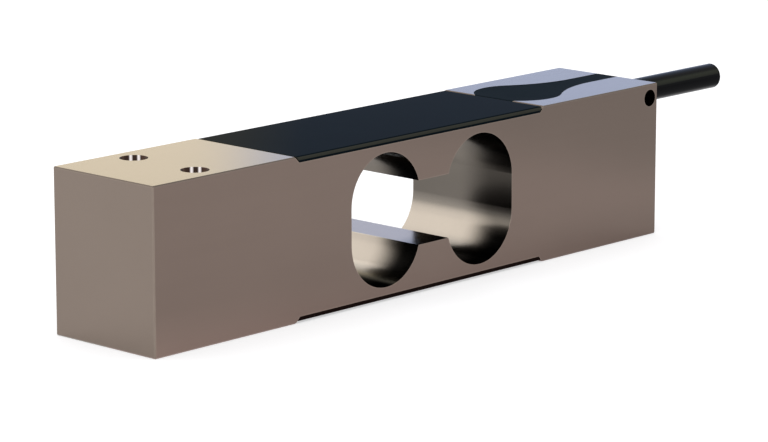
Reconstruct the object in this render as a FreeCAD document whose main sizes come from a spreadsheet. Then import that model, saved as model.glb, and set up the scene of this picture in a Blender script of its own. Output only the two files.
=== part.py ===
"""Single point load cell: an aluminium bar that bends over a dog-bone bore, with its gauges and cable.

Millimetres, +Z up. The origin is under the middle of the bar, on the plane that the bar stands on, and +X
runs along the bar towards the cable. The load goes on the two tapped holes at the -X end, on the top face,
and the bar is bolted down by the two tapped holes at the +X end, in the bottom face.
"""

import FreeCAD, Part
import math
import os
import Sketcher
from FreeCAD import Vector

os.makedirs("parts", exist_ok=True)
doc = FreeCAD.newDocument("single_point_load_cell")

# Driving sizes

sheet = doc.addObject("Spreadsheet::Sheet", "sizes")
SIZES = (
    ("The bar", ""),
    ("block_length", 135.0),
    ("block_width", 25.0),
    ("block_height", 30.0),
    ("edge_break", 0.2),
    ("The recesses over and under the bore, and their covers", ""),
    ("recess_length", 67.0),
    ("recess_depth", 1.15),
    ("recess_wall_run", 1.15),
    ("top_cover_height", 1.1),
    ("bottom_cover_height", 0.72),
    ("cover_headroom", 0.06),
    ("cover_rim", 1.2),
    ("cover_end_gap", 0.05),
    ("cover_end_run", 0.6),
    ("cover_edge_radius", 0.5),
    ("flex_gate_clearance", 1.0),
    ("The dog-bone bore", ""),
    ("bore_offset", 2.65),
    ("lobe_spacing", 25.4),
    ("lobe_radius", 9.05),
    ("flexure_thickness", 1.45),
    ("slot_height", 12.0),
    ("The tapped mounting holes", ""),
    ("mount_inset", 14.5),
    ("mount_spacing", 15.3),
    ("mount_drill", 5.1),
    ("mount_depth", 15.0),
    ("drill_point_angle", 118.0),
    ("The bottle-shaped pocket for the cable and the board", ""),
    ("bulb_overlap", 1.6),
    ("bulb_radius", 8.4),
    ("shoulder_radius", 24.5),
    ("neck_clearance", 0.05),
    ("floor_clearance", 0.05),
    ("potting_drop", 0.04),
    ("The cable", ""),
    ("cable_diameter", 5.0),
    ("cable_depth", 4.4),
    ("cable_free_length", 33.2),
    ("sheath_wall", 0.6),
    ("sheath_held_length", 10.0),
    ("screen_wall", 0.15),
    ("screen_strip", 1.5),
    ("core_diameter", 1.1),
    ("core_circle_radius", 0.95),
    ("core_fan_gap", 1.5),
    ("core_bend", 5.5),
    ("core_clearance", 0.05),
    ("The clamp screw and its cross hole", ""),
    ("clamp_inset", 2.35),
    ("clamp_depth", 2.75),
    ("clamp_drill", 3.3),
    ("clamp_clearance", 0.03),
    ("clamp_length", 6.0),
    ("clamp_chamfer", 0.35),
    ("socket_flats", 2.0),
    ("socket_depth", 2.5),
    ("The drilled passage from the bottom recess to the top one", ""),
    ("passage_clearance", 0.2),
    ("The strain gauges and their coats", ""),
    ("carrier_thickness", 0.05),
    ("carrier_side_margin", 0.24),
    ("carrier_end_margin", 1.2),
    ("foil_thickness", 0.02),
    ("grid_length", 5.0),
    ("grid_folds", 4),
    ("strand_width", 0.2),
    ("strand_gap", 0.16),
    ("end_loop", 0.3),
    ("tab_length", 1.6),
    ("tab_width", 1.1),
    ("coat_margin", 1.4),
    ("coat_thickness", 0.32),
    ("The flexible circuits and the jumper ribbons", ""),
    ("flex_thickness", 0.1),
    ("flex_width", 2.0),
    ("flex_gap", 0.4),
    ("flex_coat_clearance", 0.2),
    ("flex_turn_gap", 1.2),
    ("flex_bend", 0.8),
    ("flex_landing", 1.8),
    ("pad_margin", 0.35),
    ("pad_length", 1.7),
    ("pad_width", 1.3),
    ("pad_pitch", 2.6),
    ("pad_thickness", 0.04),
    ("jumper_width", 0.5),
    ("jumper_thickness", 0.06),
    ("The board, its resistors and its joints", ""),
    ("board_length", 9.6),
    ("board_corner_gap", 0.9),
    ("board_corner_radius", 0.6),
    ("board_thickness", 0.8),
    ("joint_inset", 1.1),
    ("core_joint_base", 1.5),
    ("core_joint_crown", 0.9),
    ("core_joint_height", 1.1),
    ("core_joint_pitch", 2.6),
    ("span_resistor_length", 3.2),
    ("span_resistor_width", 1.6),
    ("zero_resistor_length", 2.0),
    ("zero_resistor_width", 1.25),
    ("resistor_height", 0.55),
    ("span_resistor_spacing", 6.4),
)
for row, (name, number) in enumerate(SIZES, start=1):
    sheet.set(f"A{row}", name)
    if number != "":
        sheet.set(f"B{row}", str(number))
        sheet.setAlias(f"B{row}", name)
doc.recompute()

# Places that follow from the driving sizes, written as rules that the document keeps

HALF_LENGTH = "sizes.block_length / 2"
HALF_WIDTH = "sizes.block_width / 2"
TOP = "sizes.block_height"
MIDDLE = "sizes.block_height / 2"
TOP_FLOOR = "(sizes.block_height - sizes.recess_depth)"
BOTTOM_FLOOR = "sizes.recess_depth"
RECESS_END = "(sizes.recess_length / 2)"
FLOOR_END = "(sizes.recess_length / 2 - sizes.recess_wall_run)"
COVER_FOOT = "(sizes.recess_length / 2 - sizes.recess_wall_run - sizes.cover_end_gap)"
LOBE_TOP = "(sizes.block_height / 2 - sizes.recess_depth - sizes.flexure_thickness)"
LOBE_REACH = f"({LOBE_TOP} - sizes.lobe_radius)"
NEAR_LOBE = "(sizes.bore_offset - sizes.lobe_spacing / 2)"
FAR_LOBE = "(sizes.bore_offset + sizes.lobe_spacing / 2)"
CABLE_AXIS = "(sizes.block_height - sizes.cable_depth)"
SHEATH_RADIUS = "(sizes.cable_diameter / 2)"
SHEATH_BORE = "(sizes.cable_diameter / 2 - sizes.sheath_wall)"
SCREEN_BORE = "(sizes.cable_diameter / 2 - sizes.sheath_wall - sizes.screen_wall)"
SHEATH_CUT = f"({HALF_LENGTH} - sizes.sheath_held_length)"
SCREEN_CUT = f"({HALF_LENGTH} - sizes.sheath_held_length - sizes.screen_strip)"
NECK_HALF = "(sizes.cable_diameter / 2 + sizes.neck_clearance)"
POCKET_DEPTH = "(sizes.cable_depth + sizes.cable_diameter / 2 + sizes.floor_clearance)"
POCKET_FLOOR = f"(sizes.block_height - {POCKET_DEPTH})"
BULB_CENTRE = f"({RECESS_END} - sizes.bulb_overlap + sizes.bulb_radius)"
MOUNT_PLACE = "(sizes.block_length / 2 - sizes.mount_inset)"
CLAMP_PLACE = "(sizes.block_length / 2 - sizes.clamp_inset)"
CLAMP_AXIS = "(sizes.block_height - sizes.clamp_depth)"
PADS_LEVEL = "(sizes.flex_thickness + sizes.pad_thickness)"
FLEX_LANE = "((sizes.flex_width + sizes.flex_gap) / 2)"
PASSAGE_RADIUS = "(sqrt((sizes.flex_width / 2) ^ 2 + sizes.flex_bend ^ 2) + sizes.passage_clearance)"
PASSAGE_PLACE = f"(({FAR_LOBE} + sizes.lobe_radius + {FLOOR_END}) / 2)"
HOLLOW_HEIGHT = "(sizes.coat_thickness + sizes.cover_headroom)"
STRAND_PITCH = "(sizes.strand_width + sizes.strand_gap)"
GRID_HALF_WIDTH = f"(sizes.grid_folds * {STRAND_PITCH} - sizes.strand_gap / 2)"
TAB_OUTER = f"({GRID_HALF_WIDTH} - sizes.strand_width + sizes.tab_width)"
CARRIER_WIDTH = f"(2 * ({TAB_OUTER} + sizes.carrier_side_margin))"
CARRIER_LENGTH = "(sizes.grid_length + sizes.tab_length + 2 * sizes.carrier_end_margin)"
COAT_LENGTH = f"({CARRIER_LENGTH} + 2 * sizes.coat_margin)"
COAT_WIDTH = f"({CARRIER_WIDTH} + 2 * sizes.coat_margin)"
FLEX_EDGE = f"({COAT_WIDTH} / 2 + sizes.flex_coat_clearance + sizes.flex_width)"
FLEX_TURN = f"({FAR_LOBE} + {COAT_LENGTH} / 2 + sizes.flex_turn_gap)"
FLEX_END = f"({PASSAGE_PLACE} - {PASSAGE_RADIUS})"
BOARD_TOP = f"({POCKET_FLOOR} + sizes.board_thickness)"
BOARD_CORNER = "(sizes.bulb_radius - sizes.board_corner_gap)"
BOARD_WIDTH = f"(2 * sqrt({BOARD_CORNER} ^ 2 - (sizes.board_length / 2) ^ 2))"
BOARD_EDGE = f"({BULB_CENTRE} - sizes.board_length / 2)"
CORE_JOINT_ROW = f"({BULB_CENTRE} + sizes.board_length / 2 - sizes.joint_inset)"

CUT_OVERRUN = "1"
ORIGIN_POINT = (-1, 1)
POINTS_OF_A_LINE = ("whole", "start", "end", "centre")
START, END, CENTRE = (POINTS_OF_A_LINE.index(word) for word in ("start", "end", "centre"))
SAME_HEIGHT = 1e-6


def worth(rule):
    """The number that a rule gives with the sheet as it stands."""
    return float(sheet.evalExpression(rule))


def body_named(name):
    return doc.addObject("PartDesign::Body", name)


def origin_feature(body, role):
    """One of the body's own origin planes or axes."""
    return next(item for item in body.Origin.OriginFeatures if item.Role == role)


def sketch_on(body, name, role, offset="0"):
    """An empty sketch on one of the body's own planes, moved along the plane's normal."""
    sketch = body.newObject("Sketcher::SketchObject", name)
    sketch.AttachmentSupport = [(origin_feature(body, role), "")]
    sketch.MapMode = "FlatFace"
    sketch.setExpression("AttachmentOffset.Base.z", offset)
    return sketch


def tie_point(sketch, geometry, point, x_rule, y_rule):
    """Ties a point of the sketch to a place worked out from the sheet."""
    for direction, rule in (("DistanceX", x_rule), ("DistanceY", y_rule)):
        tie = Sketcher.Constraint(direction, *ORIGIN_POINT, geometry, point, worth(rule))
        number = sketch.addConstraint(tie)
        sketch.setExpression(f"Constraints[{number}]", rule)


def tie_radius(sketch, geometry, rule):
    number = sketch.addConstraint(Sketcher.Constraint("Radius", geometry, worth(rule)))
    sketch.setExpression(f"Constraints[{number}]", rule)


def draw_outline(sketch, corners):
    """A closed outline of straight lines whose corners are pairs of rules."""
    places = [Vector(worth(x), worth(y), 0) for x, y in corners]
    lines = [
        sketch.addGeometry(Part.LineSegment(here, there), False)
        for here, there in zip(places, places[1:] + places[:1])
    ]
    for line, following in zip(lines, lines[1:] + lines[:1]):
        sketch.addConstraint(Sketcher.Constraint("Coincident", line, END, following, START))
    for line, (x, y) in zip(lines, corners):
        tie_point(sketch, line, START, x, y)


def draw_box(sketch, low_x, low_y, high_x, high_y):
    draw_outline(sketch, ((low_x, low_y), (high_x, low_y), (high_x, high_y), (low_x, high_y)))


def draw_centred_box(sketch, x, y, length, width):
    draw_box(
        sketch,
        f"{x} - ({length}) / 2",
        f"{y} - ({width}) / 2",
        f"{x} + ({length}) / 2",
        f"{y} + ({width}) / 2",
    )


def draw_circle(sketch, x, y, radius):
    centre = Vector(worth(x), worth(y), 0)
    circle = sketch.addGeometry(Part.Circle(centre, Vector(0, 0, 1), worth(radius)), False)
    tie_point(sketch, circle, CENTRE, x, y)
    tie_radius(sketch, circle, radius)


def draw_upright_obround(sketch, x, y, reach, radius):
    """Two half circles, reach above and below the middle, joined by straight sides."""
    side = worth(radius)
    over = Vector(worth(x), worth(f"{y} + {reach}"), 0)
    under = Vector(worth(x), worth(f"{y} - {reach}"), 0)
    normal = Vector(0, 0, 1)
    upper = sketch.addGeometry(Part.ArcOfCircle(Part.Circle(over, normal, side), 0, math.pi), False)
    lower_arc = Part.ArcOfCircle(Part.Circle(under, normal, side), math.pi, 2 * math.pi)
    lower = sketch.addGeometry(lower_arc, False)
    out = Vector(side, 0, 0)
    left = sketch.addGeometry(Part.LineSegment(over - out, under - out), False)
    right = sketch.addGeometry(Part.LineSegment(under + out, over + out), False)
    for first, second in ((upper, left), (left, lower), (lower, right), (right, upper)):
        sketch.addConstraint(Sketcher.Constraint("Tangent", first, END, second, START))
    tie_point(sketch, upper, CENTRE, x, f"{y} + {reach}")
    tie_point(sketch, lower, CENTRE, x, f"{y} - {reach}")
    tie_radius(sketch, upper, radius)


def draw_bottle(sketch, neck_end):
    """The cable pocket from above: a round bulb, two hollow shoulders and a straight neck to neck_end."""
    bulb_x = worth(BULB_CENTRE)
    bulb = worth("sizes.bulb_radius")
    shoulder = worth("sizes.shoulder_radius")
    neck = worth(NECK_HALF)
    shoulder_x = bulb_x + math.sqrt((bulb + shoulder) ** 2 - (neck + shoulder) ** 2)
    lean = math.atan2(neck + shoulder, shoulder_x - bulb_x)
    normal = Vector(0, 0, 1)
    bulb_circle = Part.Circle(Vector(bulb_x, 0, 0), normal, bulb)
    back_circle = Part.Circle(Vector(shoulder_x, neck + shoulder, 0), normal, shoulder)
    front_circle = Part.Circle(Vector(shoulder_x, -neck - shoulder, 0), normal, shoulder)
    far = worth(neck_end)
    corners = [
        Vector(x, y, 0)
        for x, y in ((shoulder_x, -neck), (far, -neck), (far, neck), (shoulder_x, neck))
    ]
    turn = math.pi
    round_bulb = sketch.addGeometry(Part.ArcOfCircle(bulb_circle, lean, 2 * turn - lean), False)
    front = sketch.addGeometry(Part.ArcOfCircle(front_circle, turn / 2, turn - lean), False)
    front_side, mouth, back_side = (
        sketch.addGeometry(Part.LineSegment(here, there), False)
        for here, there in zip(corners, corners[1:])
    )
    back = sketch.addGeometry(Part.ArcOfCircle(back_circle, turn + lean, 1.5 * turn), False)
    for kind, first, first_end, second, second_end in (
        ("Tangent", round_bulb, END, front, END),
        ("Tangent", front, START, front_side, START),
        ("Coincident", front_side, END, mouth, START),
        ("Coincident", mouth, END, back_side, START),
        ("Tangent", back_side, END, back, END),
        ("Tangent", back, START, round_bulb, START),
    ):
        sketch.addConstraint(Sketcher.Constraint(kind, first, first_end, second, second_end))
    tie_point(sketch, round_bulb, CENTRE, BULB_CENTRE, "0")
    tie_radius(sketch, round_bulb, "sizes.bulb_radius")
    tie_radius(sketch, front, "sizes.shoulder_radius")
    tie_radius(sketch, back, "sizes.shoulder_radius")
    tie_point(sketch, mouth, START, neck_end, f"-{NECK_HALF}")
    tie_point(sketch, mouth, END, neck_end, NECK_HALF)
    sketch.addConstraint(Sketcher.Constraint("Horizontal", front_side))
    sketch.addConstraint(Sketcher.Constraint("Horizontal", back_side))


def pad(body, sketch, length, both_ways=False, backwards=False):
    feature = body.newObject("PartDesign::Pad", f"{sketch.Name}_pad")
    feature.Profile = sketch
    feature.SideType = "Symmetric" if both_ways else "One side"
    feature.Reversed = backwards
    feature.setExpression("Length", length)
    doc.recompute()
    return feature


def pocket(body, sketch, length, both_ways=False, backwards=False):
    """Cuts the sketch out of the body, and stops if the cut points away from the solid."""
    before = body.Shape.Volume
    feature = body.newObject("PartDesign::Pocket", f"{sketch.Name}_pocket")
    feature.Profile = sketch
    feature.SideType = "Symmetric" if both_ways else "One side"
    feature.Reversed = backwards
    feature.setExpression("Length", length)
    doc.recompute()
    if not feature.Shape.Volume < before:
        raise ValueError(f"{feature.Name} cuts nothing")
    return feature


def pattern_along(body, original, axis, length, count):
    """Repeats a feature along one of the body's axes, over a length and as many times as the rules say."""
    pattern = body.newObject("PartDesign::LinearPattern", f"{original.Name}_row")
    pattern.Originals = [original]
    pattern.Direction = (origin_feature(body, axis), [""])
    pattern.setExpression("Length", length)
    pattern.setExpression("Occurrences", count)
    body.Tip = pattern
    doc.recompute()
    return pattern


def edges_along_x(shape, height):
    """Names of the straight edges that run along X at one height."""
    found = []
    for number, edge in enumerate(shape.Edges, start=1):
        box = edge.BoundBox
        at_height = max(abs(box.ZMin - height), abs(box.ZMax - height)) < SAME_HEIGHT
        if at_height and box.XLength > box.YLength:
            found.append(f"Edge{number}")
    return found


# The bar


def cut_recess(body, name, face, floor):
    """A shallow trough across the bar, open to both sides, with slanting ends."""
    past_face = f"{face} + ({face} - {floor})"
    sketch = sketch_on(body, name, "XZ_Plane")
    corners = (
        (f"-{RECESS_END}", past_face),
        (f"-{RECESS_END}", face),
        (f"-{FLOOR_END}", floor),
        (FLOOR_END, floor),
        (RECESS_END, face),
        (RECESS_END, past_face),
    )
    draw_outline(sketch, corners)
    pocket(body, sketch, f"sizes.block_width + 2 * {CUT_OVERRUN}", both_ways=True)


def cut_bore(body):
    """Two upright lobes joined by a lower slot, right through the bar's sides."""
    through = f"sizes.block_width + 2 * {CUT_OVERRUN}"
    lobe = sketch_on(body, "bore_lobe", "XZ_Plane")
    draw_upright_obround(lobe, NEAR_LOBE, MIDDLE, LOBE_REACH, "sizes.lobe_radius")
    lobe_cut = pocket(body, lobe, through, both_ways=True)
    pattern_along(body, lobe_cut, "X_Axis", "sizes.lobe_spacing", "2")
    slot = sketch_on(body, "bore_slot", "XZ_Plane")
    draw_box(
        slot,
        NEAR_LOBE,
        f"{MIDDLE} - sizes.slot_height / 2",
        FAR_LOBE,
        f"{MIDDLE} + sizes.slot_height / 2",
    )
    pocket(body, slot, through, both_ways=True)


def drill_mounts(body, name, x, face, from_below):
    """A pair of blind tapping holes across the bar."""
    sketch = sketch_on(body, name, "XY_Plane", face)
    for side in ("-", ""):
        draw_circle(sketch, x, f"{side}sizes.mount_spacing / 2", "sizes.mount_drill / 2")
    doc.recompute()
    before = body.Shape.Volume
    hole = body.newObject("PartDesign::Hole", f"{name}_drilled")
    hole.Profile = sketch
    hole.Reversed = from_below
    hole.DepthType = "Dimension"
    hole.DrillPoint = "Angled"
    hole.setExpression("Diameter", "sizes.mount_drill")
    hole.setExpression("Depth", "sizes.mount_depth")
    hole.setExpression("DrillPointAngle", "sizes.drill_point_angle")
    doc.recompute()
    if not hole.Shape.Volume < before:
        raise ValueError(f"{name} drills nothing")


def make_sensing_body():
    body = body_named("sensing_body")
    outline = sketch_on(body, "block_outline", "XY_Plane")
    draw_centred_box(outline, "0", "0", "sizes.block_length", "sizes.block_width")
    block = pad(body, outline, "sizes.block_height")
    broken = body.newObject("PartDesign::Chamfer", "edge_break")
    broken.Base = (block, [f"Edge{number}" for number in range(1, len(block.Shape.Edges) + 1)])
    broken.setExpression("Size", "sizes.edge_break")
    doc.recompute()
    cut_recess(body, "top_recess", TOP, TOP_FLOOR)
    cut_recess(body, "bottom_recess", "0", BOTTOM_FLOOR)
    cut_bore(body)
    bottle = sketch_on(body, "cable_pocket", "XY_Plane", TOP)
    draw_bottle(bottle, f"{HALF_LENGTH} + {CUT_OVERRUN}")
    pocket(body, bottle, POCKET_DEPTH)
    passage = sketch_on(body, "circuit_passage", "XY_Plane", TOP)
    draw_circle(passage, PASSAGE_PLACE, FLEX_LANE, PASSAGE_RADIUS)
    pocket(body, passage, TOP)
    cross = sketch_on(body, "cross_hole", "XZ_Plane")
    draw_circle(cross, CLAMP_PLACE, CLAMP_AXIS, "sizes.clamp_drill / 2")
    pocket(body, cross, f"{HALF_WIDTH} + {CUT_OVERRUN}", backwards=True)
    drill_mounts(body, "load_mounts", f"-{MOUNT_PLACE}", TOP, from_below=False)
    drill_mounts(body, "base_mounts", MOUNT_PLACE, "0", from_below=True)
    return body


# The covers


def make_top_cover():
    """A moulded lid, hollow over the gauges, with a gate at the cable end where the circuits pass out."""
    body = body_named("top_cover")
    crown = f"{TOP_FLOOR} + sizes.top_cover_height"
    profile = sketch_on(body, "top_cover_profile", "XZ_Plane")
    corners = (
        (f"-{COVER_FOOT}", TOP_FLOOR),
        (COVER_FOOT, TOP_FLOOR),
        (f"{COVER_FOOT} + sizes.cover_end_run", crown),
        (f"-{COVER_FOOT} - sizes.cover_end_run", crown),
    )
    draw_outline(profile, corners)
    slab = pad(body, profile, "sizes.block_width", both_ways=True)
    rounded = body.newObject("PartDesign::Fillet", "top_cover_long_edges")
    rounded.Base = (slab, edges_along_x(slab.Shape, worth(crown)))
    rounded.setExpression("Radius", "sizes.cover_edge_radius")
    doc.recompute()
    hollow = sketch_on(body, "top_cover_hollow", "XY_Plane", TOP_FLOOR)
    length = f"2 * {COVER_FOOT} - 2 * sizes.cover_rim"
    draw_centred_box(hollow, "0", "0", length, "sizes.block_width - 2 * sizes.cover_rim")
    pocket(body, hollow, HOLLOW_HEIGHT, backwards=True)
    gate = sketch_on(body, "circuit_gate", "XY_Plane", TOP_FLOOR)
    half_gate = "(sizes.flex_width + sizes.flex_gap / 2 + sizes.flex_gate_clearance)"
    gate_start = f"{COVER_FOOT} - sizes.cover_rim - {CUT_OVERRUN}"
    draw_box(gate, gate_start, f"-{half_gate}", RECESS_END, half_gate)
    pocket(body, gate, HOLLOW_HEIGHT, backwards=True)
    return body


def make_bottom_cover():
    """A thinner lid with square edges, set back from the plane that the bar stands on."""
    body = body_named("bottom_cover")
    sole = f"{BOTTOM_FLOOR} - sizes.bottom_cover_height"
    profile = sketch_on(body, "bottom_cover_profile", "XZ_Plane")
    corners = (
        (f"-{COVER_FOOT}", BOTTOM_FLOOR),
        (f"-{COVER_FOOT} - sizes.cover_end_run", sole),
        (f"{COVER_FOOT} + sizes.cover_end_run", sole),
        (COVER_FOOT, BOTTOM_FLOOR),
    )
    draw_outline(profile, corners)
    pad(body, profile, "sizes.block_width", both_ways=True)
    hollow = sketch_on(body, "bottom_cover_hollow", "XY_Plane", BOTTOM_FLOOR)
    length = f"2 * {COVER_FOOT} - 2 * sizes.cover_rim"
    draw_centred_box(hollow, "0", "0", length, "sizes.block_width - 2 * sizes.cover_rim")
    pocket(body, hollow, HOLLOW_HEIGHT)
    return body


# The strain gauges, each over one thin section of the bar


def make_gauge(name):
    """A foil grid on its carrier, drawn about its own middle with its solder tabs towards +X.

    The grid starts as a plate of foil, and slits from each end in turn leave it as one folded strand. The
    tabs are tinned until they are level with the pads of the circuit.
    """
    body = body_named(name)
    carrier = sketch_on(body, f"{name}_carrier", "XY_Plane")
    draw_centred_box(carrier, "0", "0", CARRIER_LENGTH, CARRIER_WIDTH)
    pad(body, carrier, "sizes.carrier_thickness")

    start = "(-sizes.grid_length / 2 - sizes.tab_length / 2)"
    finish = "(sizes.grid_length / 2 - sizes.tab_length / 2)"
    foil = sketch_on(body, f"{name}_foil", "XY_Plane", "sizes.carrier_thickness")
    draw_box(foil, start, f"-{GRID_HALF_WIDTH}", finish, GRID_HALF_WIDTH)
    pad(body, foil, "sizes.foil_thickness")

    first_gap = f"-{GRID_HALF_WIDTH} + sizes.strand_width"
    slits = (
        (
            "tab_end",
            first_gap,
            f"{start} + sizes.end_loop",
            f"{finish} + {CUT_OVERRUN}",
            "sizes.grid_folds",
        ),
        (
            "blind_end",
            f"{first_gap} + {STRAND_PITCH}",
            f"{start} - {CUT_OVERRUN}",
            f"{finish} - sizes.end_loop",
            "(sizes.grid_folds - 1)",
        ),
    )
    upper_face = "sizes.carrier_thickness + sizes.foil_thickness"
    for word, low_y, low_x, high_x, count in slits:
        slit = sketch_on(body, f"{name}_{word}_slit", "XY_Plane", upper_face)
        draw_box(slit, low_x, low_y, high_x, f"{low_y} + sizes.strand_gap")
        cut = pocket(body, slit, "sizes.foil_thickness")
        pattern_along(body, cut, "Y_Axis", f"2 * {STRAND_PITCH} * ({count} - 1)", count)

    tabs = sketch_on(body, f"{name}_tabs", "XY_Plane", "sizes.carrier_thickness")
    tab_inner = f"({TAB_OUTER} - sizes.tab_width)"
    tab_tip = f"{finish} + sizes.tab_length"
    draw_box(tabs, finish, f"-{TAB_OUTER}", tab_tip, f"-{tab_inner}")
    draw_box(tabs, finish, tab_inner, tab_tip, TAB_OUTER)
    pad(body, tabs, f"{PADS_LEVEL} - sizes.carrier_thickness")
    return body


def lay_gauge(gauge, lobe, floor, underneath, tabs_back):
    """Sets a gauge over a lobe, face down where it is underneath the bar."""
    gauge.setExpression("Placement.Base.x", lobe)
    gauge.setExpression("Placement.Base.z", floor)
    turn = FreeCAD.Rotation(Vector(0, 0, 1), 180 if tabs_back else 0)
    over = FreeCAD.Rotation(Vector(1, 0, 0), 180 if underneath else 0)
    gauge.Placement.Rotation = over.multiply(turn)


# Whatever follows a bent line: the circuits' tails and the cable's cores


def bent_line(points, largest_radius):
    """Straight runs joined by tangent arcs, none larger than its two runs allow."""
    edges = []
    begin = points[0]
    for before, corner, after in zip(points, points[1:], points[2:]):
        arriving = corner - before
        leaving = after - corner
        half_turn = arriving.getAngle(leaving) / 2
        room = 0.45 * min(arriving.Length, leaving.Length)
        radius = min(largest_radius, room / math.tan(half_turn))
        reach = radius * math.tan(half_turn)
        arriving.normalize()
        leaving.normalize()
        arc_start = corner - arriving * reach
        arc_end = corner + leaving * reach
        inward = leaving - arriving
        inward.normalize()
        arc_middle = corner + inward * (radius / math.cos(half_turn) - radius)
        edges.append(Part.LineSegment(begin, arc_start).toShape())
        edges.append(Part.Arc(arc_start, arc_middle, arc_end).toShape())
        begin = arc_end
    edges.append(Part.LineSegment(begin, points[-1]).toShape())
    return Part.Wire(edges)


def swept(points, section, area, largest_radius):
    """A solid of one section along a bent line, checked against its section times its length."""
    path = bent_line(points, largest_radius)
    solid = path.makePipeShell([section], True, False)
    expected = area * path.Length
    if abs(solid.Volume - expected) > 0.001 * expected:
        raise ValueError("a swept piece's volume isn't its section times its length")
    return solid


def round_wire(points, diameter, largest_radius):
    ring = Part.Wire([Part.makeCircle(diameter / 2, points[0], points[1] - points[0])])
    return swept(points, ring, math.pi * diameter**2 / 4, largest_radius)


def flat_ribbon(points, width, thickness, largest_radius):
    """A ribbon that starts along X and bends only up and down."""
    start = points[0]
    corners = [
        start + Vector(0, across * width / 2, up * thickness / 2)
        for across, up in ((-1, -1), (1, -1), (1, 1), (-1, 1))
    ]
    section = Part.makePolygon([*corners, corners[0]])
    return swept(points, section, width * thickness, largest_radius)


def shape_node(name, solids):
    """A piece whose form no sketch gives, as a group of separate solids."""
    feature = doc.addObject("Part::Feature", name)
    feature.Shape = Part.makeCompound(solids) if len(solids) > 1 else solids[0]
    return feature


# The flexible circuits: solder pads between the gauges, and a tail to the board


def make_flex(name, floor, underneath):
    """One circuit, glued to its recess's floor.

    The tail of the circuit underneath the bar rises through the drilled passage, and both tails cross the
    top recess side by side, bend down into the bulb and lie on the board.
    """
    away = "-" if underneath else "+"
    sheet_body = body_named(f"{name}_sheet")
    draw_flex_sheet(sheet_body, name, floor, underneath)
    pads = sketch_on(sheet_body, f"{name}_pads", "XY_Plane", f"{floor} {away} sizes.flex_thickness")
    for place in (-1, 0, 1):
        size = ("sizes.pad_length", "sizes.pad_width")
        draw_centred_box(pads, "sizes.bore_offset", f"{place} * sizes.pad_pitch", *size)
    pad(sheet_body, pads, "sizes.pad_thickness", backwards=underneath)
    tail_height = worth(f"{floor} {away} sizes.flex_thickness / 2")
    whole = doc.addObject("Part::Fuse", name)
    whole.Base = sheet_body
    whole.Tool = make_flex_tail(f"{name}_tail", tail_height, underneath)
    return whole


def draw_flex_sheet(body, name, floor, underneath):
    """The flat part: a strip across the bar for the pads, and a lane past the gauge to the cable end."""
    side = "" if underneath else "-"
    other = "-" if underneath else ""
    outline = sketch_on(body, f"{name}_outline", "XY_Plane", floor)
    half_pad = "(sizes.pad_length / 2 + sizes.pad_margin)"
    west = f"sizes.bore_offset - {half_pad}"
    east = f"sizes.bore_offset + {half_pad}"
    inner = f"({FLEX_EDGE} - sizes.flex_width)"
    lane_far = f"({FLEX_LANE} + sizes.flex_width / 2)"
    lane_near = f"({FLEX_LANE} - sizes.flex_width / 2)"
    corners = (
        (west, f"{side}{FLEX_EDGE}"),
        (FLEX_TURN, f"{side}{FLEX_EDGE}"),
        (FLEX_END, f"{side}{lane_far}"),
        (FLEX_END, f"{side}{lane_near}"),
        (FLEX_TURN, f"{side}{inner}"),
        (east, f"{side}{inner}"),
        (east, f"{other}{inner}"),
        (west, f"{other}{inner}"),
    )
    draw_outline(outline, corners)
    pad(body, outline, "sizes.flex_thickness", backwards=underneath)


def make_flex_tail(name, start_height, underneath):
    """The part that bends, from where the flat part ends to its landing on the board."""
    thickness = worth("sizes.flex_thickness")
    lane = worth(FLEX_LANE) * (1 if underneath else -1)
    upper = worth(f"{TOP_FLOOR} + sizes.flex_thickness / 2")
    landing = worth(f"{BOARD_TOP} + sizes.flex_thickness / 2")
    edge = worth(BOARD_EDGE)
    drop = (worth(RECESS_END) + edge) / 2
    route = [Vector(worth(FLEX_END), lane, start_height)]
    if underneath:
        passage = worth(PASSAGE_PLACE)
        route += [Vector(passage, lane, start_height), Vector(passage, lane, upper)]
    route += [
        Vector(drop, lane, upper),
        Vector(edge + thickness, lane, landing),
        Vector(edge + worth("sizes.flex_landing"), lane, landing),
    ]
    ribbon = flat_ribbon(route, worth("sizes.flex_width"), thickness, worth("sizes.flex_bend"))
    return shape_node(name, [ribbon])


def flat_strip(start, end, width, thickness):
    """A straight strip between two points of one height; a thickness below zero goes down."""
    along = end - start
    along.normalize()
    across = along.cross(Vector(0, 0, 1)) * width / 2
    outline = Part.makePolygon([start - across, end - across, end + across, start + across, start - across])
    return Part.Face(outline).extrude(Vector(0, 0, thickness))


def make_jumpers(name, floor, underneath):
    """Four flat ribbons from the gauges' tabs to the circuit's pads; the middle pad joins both gauges."""
    away = "-" if underneath else "+"
    height = worth(f"{floor} {away} {PADS_LEVEL}")
    thickness = worth(f"0 {away} sizes.jumper_thickness")
    width = worth("sizes.jumper_width")
    strip = worth("sizes.bore_offset")
    pitch = worth("sizes.pad_pitch")
    tab_y = worth(f"{TAB_OUTER} - sizes.tab_width / 2")
    tab_reach = worth("sizes.grid_length / 2")
    near_tab = worth(NEAR_LOBE) + tab_reach
    far_tab = worth(FAR_LOBE) - tab_reach
    near_pad = strip - width
    far_pad = strip + width
    ends = (
        ((near_tab, -tab_y), (near_pad, -pitch)),
        ((near_tab, tab_y), (near_pad, 0)),
        ((far_tab, -tab_y), (far_pad, 0)),
        ((far_tab, tab_y), (far_pad, pitch)),
    )
    ribbons = [
        flat_strip(Vector(*tab, height), Vector(*end, height), width, thickness)
        for tab, end in ends
    ]
    return shape_node(name, ribbons)


# The cable's cores


# Colour, place along the row of joints in pitches, and whether the core lies in the cable's upper pair
CORES = (
    ("red", -1.5, True),
    ("green", -0.5, False),
    ("white", 0.5, False),
    ("black", 1.5, True),
)


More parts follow.
